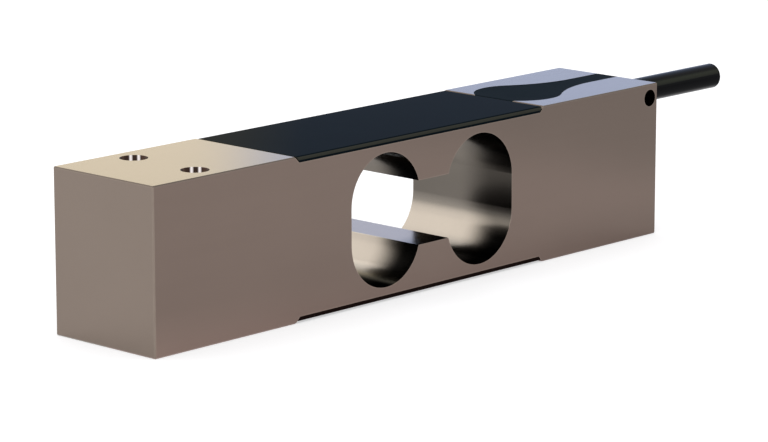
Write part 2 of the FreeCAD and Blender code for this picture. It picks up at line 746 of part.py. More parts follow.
def make_core(name, rank, upper):
    """One insulated core, from the face of the bar through the sheath and down to its joint."""
    diameter = worth("sizes.core_diameter")
    offset = worth("sizes.core_circle_radius / sqrt(2)")
    y_in = math.copysign(offset, rank)
    z_in = worth(CABLE_AXIS) + (offset if upper else -offset)
    y_out = rank * worth("sizes.core_joint_pitch")
    z_out = worth(f"{BOARD_TOP} + sizes.core_clearance") + diameter / 2
    fan = worth(f"{SCREEN_CUT} - sizes.core_fan_gap")
    joint_side = worth(f"{CORE_JOINT_ROW} + sizes.core_joint_base / 2 + sizes.core_clearance")
    points = (
        Vector(worth(HALF_LENGTH), y_in, z_in),
        Vector(fan, y_in, z_in),
        Vector(joint_side, y_out, z_out),
    )
    return shape_node(name, [round_wire(points, diameter, worth("sizes.core_bend"))])


# The cable


def make_tube(name, start, finish, outer_radius, inner_radius=None):
    """A straight tube or rod along the cable's axis."""
    body = body_named(name)
    section = sketch_on(body, f"{name}_section", "YZ_Plane", start)
    draw_circle(section, "0", CABLE_AXIS, outer_radius)
    if inner_radius:
        draw_circle(section, "0", CABLE_AXIS, inner_radius)
    pad(body, section, f"({finish}) - ({start})")
    return body


def make_cable_stub():
    """The free length of the cable: one straight run, so it has no bend to print a radius for."""
    tip = f"{HALF_LENGTH} + sizes.cable_free_length"
    stub = make_tube("cable_stub", HALF_LENGTH, tip, SHEATH_RADIUS)
    expected = math.pi * worth(SHEATH_RADIUS) ** 2 * worth("sizes.cable_free_length")
    if abs(stub.Shape.Volume - expected) > 0.001 * expected:
        raise ValueError("the stub's volume isn't its section times its length")
    print(f"cable_stub: straight, {worth('sizes.cable_free_length')} long, no bends")
    return stub


# The clamp screw


def make_clamp_screw():
    """A headless screw in the cross hole, its tip level with the wall of the pocket's neck."""
    body = body_named("clamp_screw")
    radius = "(sizes.clamp_drill / 2 - sizes.clamp_clearance)"
    shank = sketch_on(body, "clamp_screw_shank", "XZ_Plane", NECK_HALF)
    draw_circle(shank, CLAMP_PLACE, CLAMP_AXIS, radius)
    rod = pad(body, shank, "sizes.clamp_length")
    rims = [
        f"Edge{number}"
        for number, edge in enumerate(rod.Shape.Edges, start=1)
        if isinstance(edge.Curve, Part.Circle)
    ]
    chamfer = body.newObject("PartDesign::Chamfer", "clamp_screw_ends")
    chamfer.Base = (rod, rims)
    chamfer.setExpression("Size", "sizes.clamp_chamfer")
    doc.recompute()
    socket = sketch_on(body, "clamp_screw_socket", "XZ_Plane", f"{NECK_HALF} + sizes.clamp_length")
    corner_radius = "sizes.socket_flats / sqrt(3)"
    corners = [
        (
            f"{CLAMP_PLACE} + {corner_radius} * cos({60 * corner})",
            f"{CLAMP_AXIS} + {corner_radius} * sin({60 * corner})",
        )
        for corner in range(6)
    ]
    draw_outline(socket, corners)
    pocket(body, socket, "sizes.socket_depth")
    return body


# The board, its resistors and its joints


def make_board():
    """The bridge board, glued to the floor of the pocket's bulb."""
    body = body_named("bridge_board")
    outline = sketch_on(body, "bridge_board_outline", "XY_Plane", POCKET_FLOOR)
    draw_centred_box(outline, BULB_CENTRE, "0", "sizes.board_length", BOARD_WIDTH)
    plate = pad(body, outline, "sizes.board_thickness")
    corners = [
        f"Edge{number}"
        for number, edge in enumerate(plate.Shape.Edges, start=1)
        if edge.BoundBox.ZLength > edge.BoundBox.XLength + edge.BoundBox.YLength
    ]
    rounded = body.newObject("PartDesign::Fillet", "bridge_board_corners")
    rounded.Base = (plate, corners)
    rounded.setExpression("Radius", "sizes.board_corner_radius")
    doc.recompute()
    return body


def make_chip(name, y, length, width):
    """A chip resistor on the board, in line with the middle of the bulb."""
    chip = doc.addObject("Part::Box", name)
    chip.setExpression("Length", length)
    chip.setExpression("Width", width)
    chip.setExpression("Height", "sizes.resistor_height")
    chip.setExpression("Placement.Base.x", f"{BULB_CENTRE} - {length} / 2")
    chip.setExpression("Placement.Base.y", f"{y} - {width} / 2")
    chip.setExpression("Placement.Base.z", BOARD_TOP)
    return chip


def make_joint(name, rank):
    """A low pillow of solder on a square pad of the board, at a core's place along the row."""
    joint = doc.addObject("Part::Wedge", name)
    for side in ("X", "Z"):
        joint.setExpression(f"{side}min", "-sizes.core_joint_base / 2")
        joint.setExpression(f"{side}max", "sizes.core_joint_base / 2")
        joint.setExpression(f"{side}2min", "-sizes.core_joint_crown / 2")
        joint.setExpression(f"{side}2max", "sizes.core_joint_crown / 2")
    joint.setExpression("Ymin", "0")
    joint.setExpression("Ymax", "sizes.core_joint_height")
    joint.Placement.Rotation = FreeCAD.Rotation(Vector(1, 0, 0), 90)
    joint.setExpression("Placement.Base.x", CORE_JOINT_ROW)
    joint.setExpression("Placement.Base.y", f"{rank} * sizes.core_joint_pitch")
    joint.setExpression("Placement.Base.z", BOARD_TOP)
    return joint


def group_of(name, items):
    """Like pieces that share one node, each still a solid of its own."""
    group = doc.addObject("Part::Compound", name)
    group.Links = items
    return group


# What is poured or brushed on last, and so takes the shape of what it covers


def moulded_round(name, blank, covered):
    """A blank of resin or rubber, less everything that it closes over."""
    cut = doc.addObject("Part::Cut", name)
    cut.Base = blank
    cut.Tool = group_of(f"{name}_covers", covered)
    return cut


def make_coat(name, lobe, low, gauge, jumpers):
    blank = doc.addObject("Part::Box", f"{name}_blank")
    blank.setExpression("Length", COAT_LENGTH)
    blank.setExpression("Width", COAT_WIDTH)
    blank.setExpression("Height", "sizes.coat_thickness")
    blank.setExpression("Placement.Base.x", f"{lobe} - {COAT_LENGTH} / 2")
    blank.setExpression("Placement.Base.y", f"-{COAT_WIDTH} / 2")
    blank.setExpression("Placement.Base.z", low)
    return moulded_round(name, blank, [gauge, jumpers])


def make_potting(covered):
    """Resin poured into the cable pocket over the board and the cable, level with the top face."""
    blank = body_named("potting_blank")
    bottle = sketch_on(blank, "potting_outline", "XY_Plane", POCKET_FLOOR)
    draw_bottle(bottle, HALF_LENGTH)
    pad(blank, bottle, f"{POCKET_DEPTH} - sizes.potting_drop")
    cut_recess(blank, "potting_recess", TOP, TOP_FLOOR)
    sheath_space = make_tube("sheath_space", SHEATH_CUT, HALF_LENGTH, SHEATH_RADIUS)
    screen_space = make_tube("screen_space", SCREEN_CUT, SHEATH_CUT, SHEATH_BORE)
    return moulded_round("pocket_potting", blank, [*covered, sheath_space, screen_space])


# The whole cell

nodes = {}
nodes["sensing_body"] = make_sensing_body()
nodes["top_cover"] = make_top_cover()
nodes["bottom_cover"] = make_bottom_cover()
nodes["clamp_screw"] = make_clamp_screw()

SIDES = (
    ("top", TOP_FLOOR, TOP_FLOOR, False),
    ("bottom", BOTTOM_FLOOR, f"{BOTTOM_FLOOR} - sizes.coat_thickness", True),
)
for side, floor, coat_low, underneath in SIDES:
    nodes[f"{side}_flex"] = make_flex(f"{side}_flex", floor, underneath)
    jumpers = make_jumpers(f"{side}_jumpers", floor, underneath)
    nodes[f"{side}_jumpers"] = jumpers
    for place, lobe in (("near", NEAR_LOBE), ("far", FAR_LOBE)):
        gauge = make_gauge(f"gauge_{side}_{place}")
        lay_gauge(gauge, lobe, floor, underneath, tabs_back=place == "far")
        nodes[f"gauge_{side}_{place}"] = gauge
        coat = make_coat(f"coat_{side}_{place}", lobe, coat_low, gauge, jumpers)
        nodes[f"coat_{side}_{place}"] = coat

nodes["bridge_board"] = make_board()
span_size = ("sizes.span_resistor_length", "sizes.span_resistor_width")
span_chips = [
    make_chip(f"span_chip_{word}", f"{sign}sizes.span_resistor_spacing / 2", *span_size)
    for word, sign in (("front", "-"), ("back", ""))
]
nodes["span_resistors"] = group_of("span_resistors", span_chips)
zero_size = ("sizes.zero_resistor_length", "sizes.zero_resistor_width")
nodes["zero_resistor"] = make_chip("zero_resistor", "0", *zero_size)
joints = [make_joint(f"joint_{colour}", rank) for colour, rank, _ in CORES]
nodes["solder_joints"] = group_of("solder_joints", joints)

for colour, rank, upper in CORES:
    nodes[f"core_{colour}"] = make_core(f"core_{colour}", rank, upper)
held_sheath = (SHEATH_CUT, HALF_LENGTH, SHEATH_RADIUS, SHEATH_BORE)
nodes["cable_sheath_end"] = make_tube("cable_sheath_end", *held_sheath)
held_screen = (SCREEN_CUT, HALF_LENGTH, SHEATH_BORE, SCREEN_BORE)
nodes["cable_screen"] = make_tube("cable_screen", *held_screen)
nodes["cable_stub"] = make_cable_stub()

EMBEDDED = (
    "bridge_board",
    "span_resistors",
    "zero_resistor",
    "solder_joints",
    "top_flex",
    "bottom_flex",
    "core_red",
    "core_black",
    "core_green",
    "core_white",
)
nodes["pocket_potting"] = make_potting([nodes[name] for name in EMBEDDED])
doc.recompute()

# Checks, then one file for each piece

for item in doc.Objects:
    if {"Invalid", "Error"} & set(item.State):
        raise ValueError(f"{item.Name} failed to recompute")
for name, item in nodes.items():
    shape = item.Shape
    if shape.isNull() or not shape.isValid() or not shape.Solids:
        raise ValueError(f"{name} isn't a valid solid")
    item.Label = name
for name, item in nodes.items():
    item.Shape.exportStep(f"parts/{name}.step")
print(f"{len(nodes)} pieces")
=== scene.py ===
# %% [markdown]
# A single point load cell, dressed
#
# A single point load cell is the bar under the pan of a shop scale. One end is bolted to the frame, the pan
# is bolted on the other, and the thin sections over the dog-bone bore bend by a hair under the load. The
# solids of the bar, its covers, its resin and its gauges are already drawn at their real size, so this
# script adds what they lack: the finish of every surface, the cable's cut end, the light and the camera.

# %% The tools, the frame and its box
import math

import bmesh
import bpy
from mathutils import Matrix, Vector


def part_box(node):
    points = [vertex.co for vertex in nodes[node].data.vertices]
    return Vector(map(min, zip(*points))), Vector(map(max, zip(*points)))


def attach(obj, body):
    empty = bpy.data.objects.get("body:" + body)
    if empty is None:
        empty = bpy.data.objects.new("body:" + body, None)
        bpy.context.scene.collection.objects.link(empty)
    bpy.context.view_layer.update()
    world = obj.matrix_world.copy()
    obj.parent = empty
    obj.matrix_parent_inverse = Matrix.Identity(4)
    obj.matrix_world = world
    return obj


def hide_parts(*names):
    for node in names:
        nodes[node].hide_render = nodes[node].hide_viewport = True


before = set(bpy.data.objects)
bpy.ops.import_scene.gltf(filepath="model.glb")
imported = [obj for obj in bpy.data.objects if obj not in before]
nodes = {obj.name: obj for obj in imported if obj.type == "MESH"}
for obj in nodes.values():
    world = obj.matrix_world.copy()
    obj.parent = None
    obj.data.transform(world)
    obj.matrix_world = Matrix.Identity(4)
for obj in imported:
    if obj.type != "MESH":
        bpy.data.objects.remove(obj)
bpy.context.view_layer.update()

# %% [markdown]
# Units and the places to build on
#
# Blender works in metres and a bar like this is drawn in millimetres, so one factor is named once and used
# for every size below. The bar's corners are read from the solid itself, so that a finish or a lamp that is
# placed by them stays right when the bar is made longer.

# %% Millimetres, the bar's own corners, and how an object is added
MM = 0.001


def add_object(name, data):
    """An object made from its data and linked into the scene."""
    made = bpy.data.objects.new(name, data)
    bpy.context.scene.collection.objects.link(made)
    return made


bar_low, bar_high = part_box("sensing_body")
bar_middle = (bar_low + bar_high) / 2
print("bar, mm:", [round(side / MM, 1) for side in bar_high - bar_low])

# %% [markdown]
# The camera
#
# The photograph is nearly a parallel view, taken from the corner of the loading end with a long lens. The
# lens, the distance and the direction were solved from the bar's edges. A long lens far away keeps the
# bar's edges nearly parallel, which a short lens nearby wouldn't.

# %% The camera at the photograph's place
LENS = 166.75
SENSOR = 36.0
NEAREST = 10 * MM
CAMERA_PLACE = Vector((-468.1, -438.4, 152.0)) * MM
CAMERA_DIRECTION = Vector((0.7149, 0.6656, -0.2142))

camera_data = bpy.data.cameras.new("camera")
camera_data.lens = LENS
camera_data.sensor_width = SENSOR
camera_data.clip_start = NEAREST
camera = add_object("camera", camera_data)
camera.location = CAMERA_PLACE
camera.rotation_euler = CAMERA_DIRECTION.to_track_quat("-Z", "Y").to_euler()
bpy.context.scene.camera = camera
bpy.context.scene.view_settings.view_transform = "Standard"
print("camera, mm from the bar:", round((bar_middle - CAMERA_PLACE).length / MM))

# %% [markdown]
# Building with shader nodes
#
# A node tree can be wired by hand in the editor, but a script that repeats the same few links is easier to
# read with small helpers. These add a node and fill its input sockets, each with a plain value or with a link
# from another node's output.

# %% Helpers that add one node
MIX_FACTOR, MIX_FIRST, MIX_SECOND, MIX_RESULT = 0, 6, 7, 2


def feed(tree, socket, value):
    """Fills an input socket, with a link when the value is another node's output."""
    if isinstance(value, bpy.types.NodeSocket):
        tree.links.new(value, socket)
    else:
        socket.default_value = value


def add_node(tree, kind, settings=None, **sockets):
    """A new node of a tree, with its settings and the values or links of its input sockets."""
    node = tree.nodes.new(kind)
    for name, value in (settings or {}).items():
        setattr(node, name, value)
    for name, value in sockets.items():
        feed(tree, node.inputs[name.replace("_", " ")], value)
    return node


def calculate(tree, operation, first, second=0.0, third=0.0, clamp=False):
    """One Math node, whose three inputs have the same name and so go by number."""
    node = add_node(tree, "ShaderNodeMath", {"operation": operation, "use_clamp": clamp})
    for socket, value in zip(node.inputs, (first, second, third)):
        feed(tree, socket, value)
    return node.outputs[0]


def combine_vectors(tree, operation, *vectors):
    """The outputs of one Vector Math node, whose inputs go by number too."""
    node = add_node(tree, "ShaderNodeVectorMath", {"operation": operation})
    for socket, value in zip(node.inputs, vectors):
        feed(tree, socket, value)
    return node.outputs


def mix_colours(tree, factor, first, second, blend="MIX"):
    """One Mix node, by its sockets for colours; it keeps others for numbers and for vectors."""
    node = add_node(tree, "ShaderNodeMix", {"data_type": "RGBA", "blend_type": blend})
    for number, value in ((MIX_FACTOR, factor), (MIX_FIRST, first), (MIX_SECOND, second)):
        feed(tree, node.inputs[number], value)
    return node.outputs[MIX_RESULT]


print("helpers for single nodes ready")

# %% [markdown]
# Masks and levels
#
# Most of what follows is built from masks: numbers that are 1 where an effect is wanted and 0 elsewhere.
# Object coordinates tell where a point lies on the piece and the object's normal tells which way the surface
# faces there. A few sums on those two find a hole, a rounding or a slope, with no picture to paint.

# %% Helpers for masks


def split_vector(tree, kind):
    """X, Y and Z of where a point lies ("Object") or of which way it faces ("Normal")."""
    source = add_node(tree, "ShaderNodeTexCoord").outputs[kind]
    return add_node(tree, "ShaderNodeSeparateXYZ", Vector=source).outputs


def product(tree, first, *others):
    """Several masks or levels multiplied together."""
    for other in others:
        first = calculate(tree, "MULTIPLY", first, other)
    return first


def inverse(tree, mask):
    """What a mask leaves out."""
    return calculate(tree, "SUBTRACT", 1.0, mask)


def away_from(tree, value, middle):
    """How far a value lies from a middle, to either side."""
    return calculate(tree, "ABSOLUTE", calculate(tree, "SUBTRACT", value, middle))


def between(tree, share, start, end):
    """A level that goes from start to end as the share goes from 0 to 1."""
    return calculate(tree, "MULTIPLY_ADD", share, end - start, start)


def straight_share(tree, value, empty, full):
    """0 at the empty end and 1 at the full end, as a straight ramp."""
    span = full - empty
    return calculate(tree, "MULTIPLY_ADD", value, 1 / span, -empty / span, clamp=True)


def soft_share(tree, value, start, end, low_level=0.0):
    """A smooth ramp from the low level at the start to 1 at the end."""
    limits = {"From_Min": start, "From_Max": end, "To_Min": low_level}
    smooth = {"interpolation_type": "SMOOTHSTEP"}
    return add_node(tree, "ShaderNodeMapRange", smooth, Value=value, **limits).outputs["Result"]


def bell(tree, off):
    """1 where a value is 0, down to 0 where it reaches 1 to either side."""
    return calculate(tree, "SUBTRACT", 1.0, calculate(tree, "MULTIPLY", off, off), clamp=True)


print("helpers for masks ready")

# %% [markdown]
# Colours, layer on layer
#
# A finished surface is a base colour with others laid over it: a worn edge, a stain, a polished line. Each
# layer takes whatever feeds the shader's base colour so far and puts itself in between.

# %% Helpers for colours
WHITE = (1.0, 1.0, 1.0, 1.0)
BLACK = (0.0, 0.0, 0.0, 1.0)


def rgb(red, green, blue):
    """A colour as a screen shows it, 0 to 255, as the linear values that a shader takes."""
    linear = []
    for level in (red, green, blue):
        share = level / 255
        linear.append(share / 12.92 if share <= 0.04045 else ((share + 0.055) / 1.055) ** 2.4)
    return (*linear, 1.0)


def grey_of(tree, level):
    """A level as a grey, for multiplying a colour by it."""
    return add_node(tree, "ShaderNodeCombineColor", Red=level, Green=level, Blue=level).outputs[0]


def base_colour(tree):
    """What feeds the base colour of a material's shader so far."""
    return tree.nodes["Principled BSDF"].inputs["Base Color"].links[0].from_socket


def shaded(tree, colour, shade):
    """A colour multiplied by a shade."""
    return mix_colours(tree, 1.0, colour, shade, "MULTIPLY")


def lay_over(tree, mask, colour):
    """Lays a colour over a material's base colour where the mask says so."""
    layered = mix_colours(tree, mask, base_colour(tree), colour)
    tree.links.new(layered, tree.nodes["Principled BSDF"].inputs["Base Color"])


print("helpers for colours ready")

# %% [markdown]
# Effects that materials share
#
# An effect that several materials use is a node group: a small tree with named inputs and outputs that is
# built once and placed in each material with its own values. Both finishes below are made of noise, each
# centred on zero, so that a stronger noise spreads the tone without making it lighter or darker.

# %% Helpers for node groups
FINISH_OUTPUTS = ("Tone", "Roughness", "Height")


def new_group(name, inputs, outputs):
    """An empty group that takes coordinates and named values, and the sockets of its two end nodes."""
    group = bpy.data.node_groups.new(name, "ShaderNodeTree")
    group.interface.new_socket("Coordinates", in_out="INPUT", socket_type="NodeSocketVector")
    for socket_name, value in inputs.items():
        kind = "NodeSocketFloat" if isinstance(value, float) else "NodeSocketVector"
        socket = group.interface.new_socket(socket_name, in_out="INPUT", socket_type=kind)
        socket.default_value = value
    for socket_name in outputs:
        group.interface.new_socket(socket_name, in_out="OUTPUT", socket_type="NodeSocketFloat")
    given = group.nodes.new("NodeGroupInput").outputs
    result = group.nodes.new("NodeGroupOutput").inputs
    return group, given, result


def centred_noise(group, place, scale, weight, detail):
    """Noise of a given weight that goes as far below zero as above it."""
    noise = add_node(group, "ShaderNodeTexNoise", Vector=place, Scale=scale, Detail=detail)
    return calculate(group, "MULTIPLY_ADD", noise.outputs["Fac"], weight, -weight / 2)


def put_out_finish(group, given, result, tone_noise, rough_noise, height):
    """Links a finish's tone, roughness and height to the group's outputs."""
    tone = calculate(group, "MULTIPLY_ADD", tone_noise, given["Tone Spread"], 1.0)
    rough = calculate(
        group, "MULTIPLY_ADD", rough_noise, given["Roughness Spread"], given["Roughness"], clamp=True
    )
    for name, value in (("Tone", tone), ("Roughness", rough), ("Height", height)):
        group.links.new(value, result[name])


print("helpers for groups ready")

# %% [markdown]
# Milled and blasted metal
#
# The bar is milled all over and then has a fine matt finish. Close up it has three things at three scales:
# a grain of tenths of a millimetre, faint streaks along the cutter's path, and a soft mottling some
# centimetres wide. A picture texture could carry them, but noise on Object coordinates needs no picture,
# has the same scale on every piece and runs unbroken over an edge.

# %% The metal finish group
CUTTER_PATH = (0.03, 1.0, 1.0)
GRAIN_WEIGHT = 0.5
STREAK_WEIGHT = 0.8
MOTTLE_WEIGHT = 1.6


def build_metal_finish():
    inputs = {
        "Grain Scale": 4200.0,
        "Streak Scale": 900.0,
        "Mottle Scale": 45.0,
        "Tone Spread": 0.06,
        "Roughness": 0.3,
        "Roughness Spread": 0.08,
    }
    group, given, result = new_group("metal_finish", inputs, FINISH_OUTPUTS)
    place = given["Coordinates"]
    along = add_node(group, "ShaderNodeMapping", Vector=place, Scale=CUTTER_PATH).outputs[0]
    grain = centred_noise(group, place, given["Grain Scale"], GRAIN_WEIGHT, detail=3.0)
    streaks = centred_noise(group, along, given["Streak Scale"], STREAK_WEIGHT, detail=4.0)
    mottle = centred_noise(group, place, given["Mottle Scale"], MOTTLE_WEIGHT, detail=2.0)
    fine = calculate(group, "ADD", grain, streaks)
    whole = calculate(group, "ADD", fine, mottle)
    put_out_finish(group, given, result, whole, fine, fine)
    return group


metal_finish = build_metal_finish()
print("metal finish:", len(metal_finish.nodes), "nodes")

# %% [markdown]
# Moulded, poured and extruded black
#
# The covers are moulded, the resin is poured and the sheath is extruded, and all three are nearly black.
# What tells them apart is the surface: a fine pebble on the covers, long soft waves in the resin and lines
# along the sheath. One group gives all three, with a stretch along X that is 1 for no direction.

# %% The polymer finish group
PEBBLE_WEIGHT = 1.0
WAVE_WEIGHT = 2.0


def build_polymer_finish():
    inputs = {
        "Stretch": (1.0, 1.0, 1.0),
        "Pebble Scale": 5200.0,
        "Wave Scale": 140.0,
        "Tone Spread": 0.12,
        "Roughness": 0.5,
        "Roughness Spread": 0.1,
    }
    group, given, result = new_group("polymer_finish", inputs, FINISH_OUTPUTS)
    place = given["Coordinates"]
    stretched = add_node(group, "ShaderNodeMapping", Vector=place, Scale=given["Stretch"]).outputs[0]
    pebble = centred_noise(group, stretched, given["Pebble Scale"], PEBBLE_WEIGHT, detail=2.0)
    wave = centred_noise(group, place, given["Wave Scale"], WAVE_WEIGHT, detail=1.0)
    whole = calculate(group, "ADD", pebble, wave)
    put_out_finish(group, given, result, whole, whole, pebble)
    return group


polymer_finish = build_polymer_finish()
print("polymer finish:", len(polymer_finish.nodes), "nodes")

# %% [markdown]
# Worn edges
#
# Handling rubs an edge before it marks a face. A Bevel node gives the normal that a rounded edge would
# have, and where that leaves the true normal there is an edge. The difference, sharpened and broken up
# with a little noise, is a mask that any material can use to lighten or polish its edges.

# %% The worn edge group
PATCH_SCALE = 600.0
PATCH_DETAIL = 3.0
EDGE_GAIN = 8.0


def build_worn_edges():
    group, given, result = new_group("worn_edges", {"Width": 0.4 * MM, "Strength": 1.0}, ["Mask"])
    rounded = add_node(group, "ShaderNodeBevel", {"samples": 4}, Radius=given["Width"]).outputs[0]
    true_normal = add_node(group, "ShaderNodeNewGeometry").outputs["Normal"]
    edge = inverse(group, combine_vectors(group, "DOT_PRODUCT", rounded, true_normal)["Value"])
    patches = add_node(
        group, "ShaderNodeTexNoise", Vector=given["Coordinates"], Scale=PATCH_SCALE, Detail=PATCH_DETAIL
    )
    mask = product(group, edge, patches.outputs["Fac"], EDGE_GAIN)
    scaled = calculate(group, "MULTIPLY", mask, given["Strength"], clamp=True)
    group.links.new(scaled, result["Mask"])
    return group


worn_edges = build_worn_edges()
print("worn edges:", len(worn_edges.nodes), "nodes")

# %% [markdown]
# One recipe for a finished material
#
# Every finish below has a base colour that the tone moves a little, a roughness and a bump from one of the
# groups, and edges that the wear group lightens. The recipe wires that once. What is the same all over a
# surface, such as metal or a specular level, is set on the shader's own socket.

# %% The material recipe
materials = {}


def place_group(tree, group, coordinates, values):
    """A node group set into a material, with its coordinates linked and its own values filled in."""
    node = add_node(tree, "ShaderNodeGroup", {"node_tree": group}, Coordinates=coordinates)
    for name, value in values.items():
        node.inputs[name].default_value = value
    return node.outputs


def add_finish(slot, colour, group, values, edge_colour, edge_values, bump, shader_values):
    """Makes a slot's material; the bump is (strength, distance), and the shader's values are constants."""
    material = bpy.data.materials.new(slot)
    material.use_nodes = True
    tree = material.node_tree
    shader = tree.nodes["Principled BSDF"]
    for name, value in shader_values.items():
        shader.inputs[name].default_value = value
    place = add_node(tree, "ShaderNodeTexCoord").outputs["Object"]
    finish = place_group(tree, group, place, values)
    wear = place_group(tree, worn_edges, place, edge_values)
    toned = shaded(tree, colour, grey_of(tree, finish["Tone"]))
    worn = mix_colours(tree, wear["Mask"], toned, edge_colour)
    strength, distance = bump
    relief = add_node(tree, "ShaderNodeBump", Strength=strength, Distance=distance, Height=finish["Height"])
    tree.links.new(worn, shader.inputs["Base Color"])
    tree.links.new(finish["Roughness"], shader.inputs["Roughness"])
    tree.links.new(relief.outputs[0], shader.inputs["Normal"])
    materials[slot] = material


def dress(slot, *names):
    """Gives a slot's material to CAD nodes, whose own mesh and place stay as they are."""
    for name in names:
        nodes[name].data.materials.clear()
        nodes[name].data.materials.append(materials[slot])
    print(slot, "on", *names)


# %% [markdown]
# The aluminium of the bar
#
# The bar shows a warm grey with a satin shine: nearly all of its colour is what it reflects, so it is a
# metal, rough enough to blur the studio into soft areas of tone. Its broken edges are a little brighter,
# where handling has polished them.

# %% The bar's finish
BAR_COLOUR = rgb(124, 112, 103)
BAR_EDGE = rgb(158, 147, 135)

add_finish(
    "bar_aluminium",
    BAR_COLOUR,
    metal_finish,
    {"Roughness": 0.18, "Roughness Spread": 0.04, "Tone Spread": 0.06},
    BAR_EDGE,
    {"Width": 0.35 * MM, "Strength": 0.5},
    (0.12, 0.02 * MM),
    {"Metallic": 1.0},
)
dress("bar_aluminium", "sensing_body")

# %% [markdown]
# The walls of the mounting holes
#
# The mounting holes need a finish of their own. A point belongs to a hole's wall when it lies close to the
# hole's axis and its surface stands upright. The holes lie the same way on both sides of the bar's middle,
# so the distances are taken without their sign and one sum serves for all.

# %% A mask for the holes' walls
HOLE_X = 53.0 * MM
HOLE_Y = 7.65 * MM
HOLE_REACH = 2.7 * MM
UPRIGHT = 0.5

tree = materials["bar_aluminium"].node_tree
shader = tree.nodes["Principled BSDF"]
place = split_vector(tree, "Object")
facing = split_vector(tree, "Normal")
facing_level = calculate(tree, "ABSOLUTE", facing["Z"])
across = away_from(tree, calculate(tree, "ABSOLUTE", place["X"]), HOLE_X)
aside = away_from(tree, calculate(tree, "ABSOLUTE", place["Y"]), HOLE_Y)
square = calculate(tree, "MULTIPLY_ADD", across, across, calculate(tree, "MULTIPLY", aside, aside))
near_hole = calculate(tree, "LESS_THAN", square, HOLE_REACH ** 2)
hole_wall = product(tree, near_hole, calculate(tree, "LESS_THAN", facing_level, UPRIGHT))
print("mask of the hole walls, mm round each axis:", HOLE_REACH / MM)

# %% [markdown]
# Fine rings left by the drill
#
# A drill leaves fine rings on the wall of a hole, with flanks that look up out of it. They are far smaller
# than a pixel, yet they spread every reflection up and down. A Bump node can't carry rings that fine, because
# it compares neighbouring pixels, so the normal itself is tilted upward by a sine of the height.

# %% Rings that tilt the normal upward
RING_PITCH = 0.11 * MM
RING_TILT = (0.25, 0.75)

wave = calculate(tree, "SINE", calculate(tree, "MULTIPLY", place["Z"], math.tau / RING_PITCH))
tilt_swing = (RING_TILT[1] - RING_TILT[0]) / 2
lift = calculate(tree, "MULTIPLY_ADD", wave, tilt_swing, RING_TILT[0] + tilt_swing)
upward = add_node(tree, "ShaderNodeCombineXYZ", Z=product(tree, lift, hole_wall)).outputs[0]
bumped = shader.inputs["Normal"].links[0].from_socket
tilted = combine_vectors(tree, "ADD", bumped, upward)[0]
tree.links.new(combine_vectors(tree, "NORMALIZE", tilted)[0], shader.inputs["Normal"])
print("rings, mm apart:", RING_PITCH / MM)

# %% [markdown]
# Two painted highlight lines in each hole
#
# Each hole's wall carries a painted highlight: two upright bright lines stand for the reflections that a
# bored wall shows, and the rest is painted a dark brown, as painted shade inside the hole. The direction in
# which the wall faces tells where on the round it is, so a bell curve round two compass directions keeps
# those lines bright and the rest goes dark.

# %% Painted highlight lines and painted shade between them
GLINT_COLOUR = rgb(244, 236, 234)
HOLE_PAINTED_SHADE = (0.2, 0.15, 0.14, 1.0)
GLINT_COMPASS = (207, 239)
GLINT_WIDTH = math.radians(8)

compass = calculate(tree, "ARCTAN2", facing["Y"], facing["X"])
lines = 0.0
for direction in GLINT_COMPASS:
    off = calculate(tree, "SUBTRACT", compass, math.radians(direction - 360))
    line = bell(tree, calculate(tree, "MULTIPLY", off, 1 / GLINT_WIDTH))
    lines = calculate(tree, "MAXIMUM", lines, line)
# painted shade for the hole's dark wall, and painted highlight lines laid over it
hole_shade = shaded(tree, base_colour(tree), HOLE_PAINTED_SHADE)
lay_over(tree, hole_wall, mix_colours(tree, lines, hole_shade, GLINT_COLOUR))
print("polished lines in each hole:", len(GLINT_COMPASS))

# %% [markdown]
# The bore, cut with a long tool, and its painted light
#
# The bore is opened up by a long cutter that reaches right through the bar, after the faces were blasted, so
# its wall is a little rougher than the faces. Its wall and the floor and roof of the slot between the two
# lobes get painted light and shade of their own in place of what they reflect: a lighter, cooler base colour,
# darkened by the ramps below. A box mask finds the bore: everything of the bar that lies inside the bore's
# outline and behind the two side faces is wall, and what is level and near the middle height is slot.

# %% Masks for the bore's wall and its slot
BORE_HALF = Vector((27.0, 12.45, 12.6)) * MM
BORE_CENTRE = Vector((2.65, 0.0, 15.0)) * MM
SLOT_REACH = 6.3 * MM
LEVEL = 0.98

within = [
    calculate(tree, "LESS_THAN", away_from(tree, place[axis], middle), half)
    for axis, half, middle in zip("XYZ", BORE_HALF, BORE_CENTRE)
]
in_bore = product(tree, *within)
height = away_from(tree, place["Z"], BORE_CENTRE.z)
level = calculate(tree, "GREATER_THAN", facing_level, LEVEL)
slot = product(tree, in_bore, level, calculate(tree, "LESS_THAN", height, SLOT_REACH))
lobes = calculate(tree, "SUBTRACT", in_bore, slot)
right_lobe = calculate(tree, "GREATER_THAN", place["X"], BORE_CENTRE.x)
left_lobe = inverse(tree, right_lobe)
print("mask of the bore, mm:", [round(2 * half / MM, 1) for half in BORE_HALF])

# %% [markdown]
# Dark toward the near face
#
# Far inside, a wall of the bore mirrors the pale studio behind the bar, and near the front face it mirrors
# the dark beside the viewer. A smooth ramp over the depth paints that into both lobes' colour, as painted
# shade that darkens toward the near face. In the right lobe the painted shade reaches further in on the upper
# wall than on the foot, so the depth is shifted by how far the wall faces up, and a part of the painted light
# stays to the very edge.

# %% Each lobe's painted light by depth
LEFT_DEPTH = (-9.8 * MM, -1.6 * MM, 0.025)
RIGHT_DEPTH = (-9.8 * MM, -1.2 * MM)
RIGHT_LEAN = (0.05, 0.45)
RIGHT_SHIFT = (-2.2 * MM, 0.5 * MM)
EDGE_LIGHT = 0.36
EDGE_LIGHT_FADE = (0.62, 0.36, 0.06)

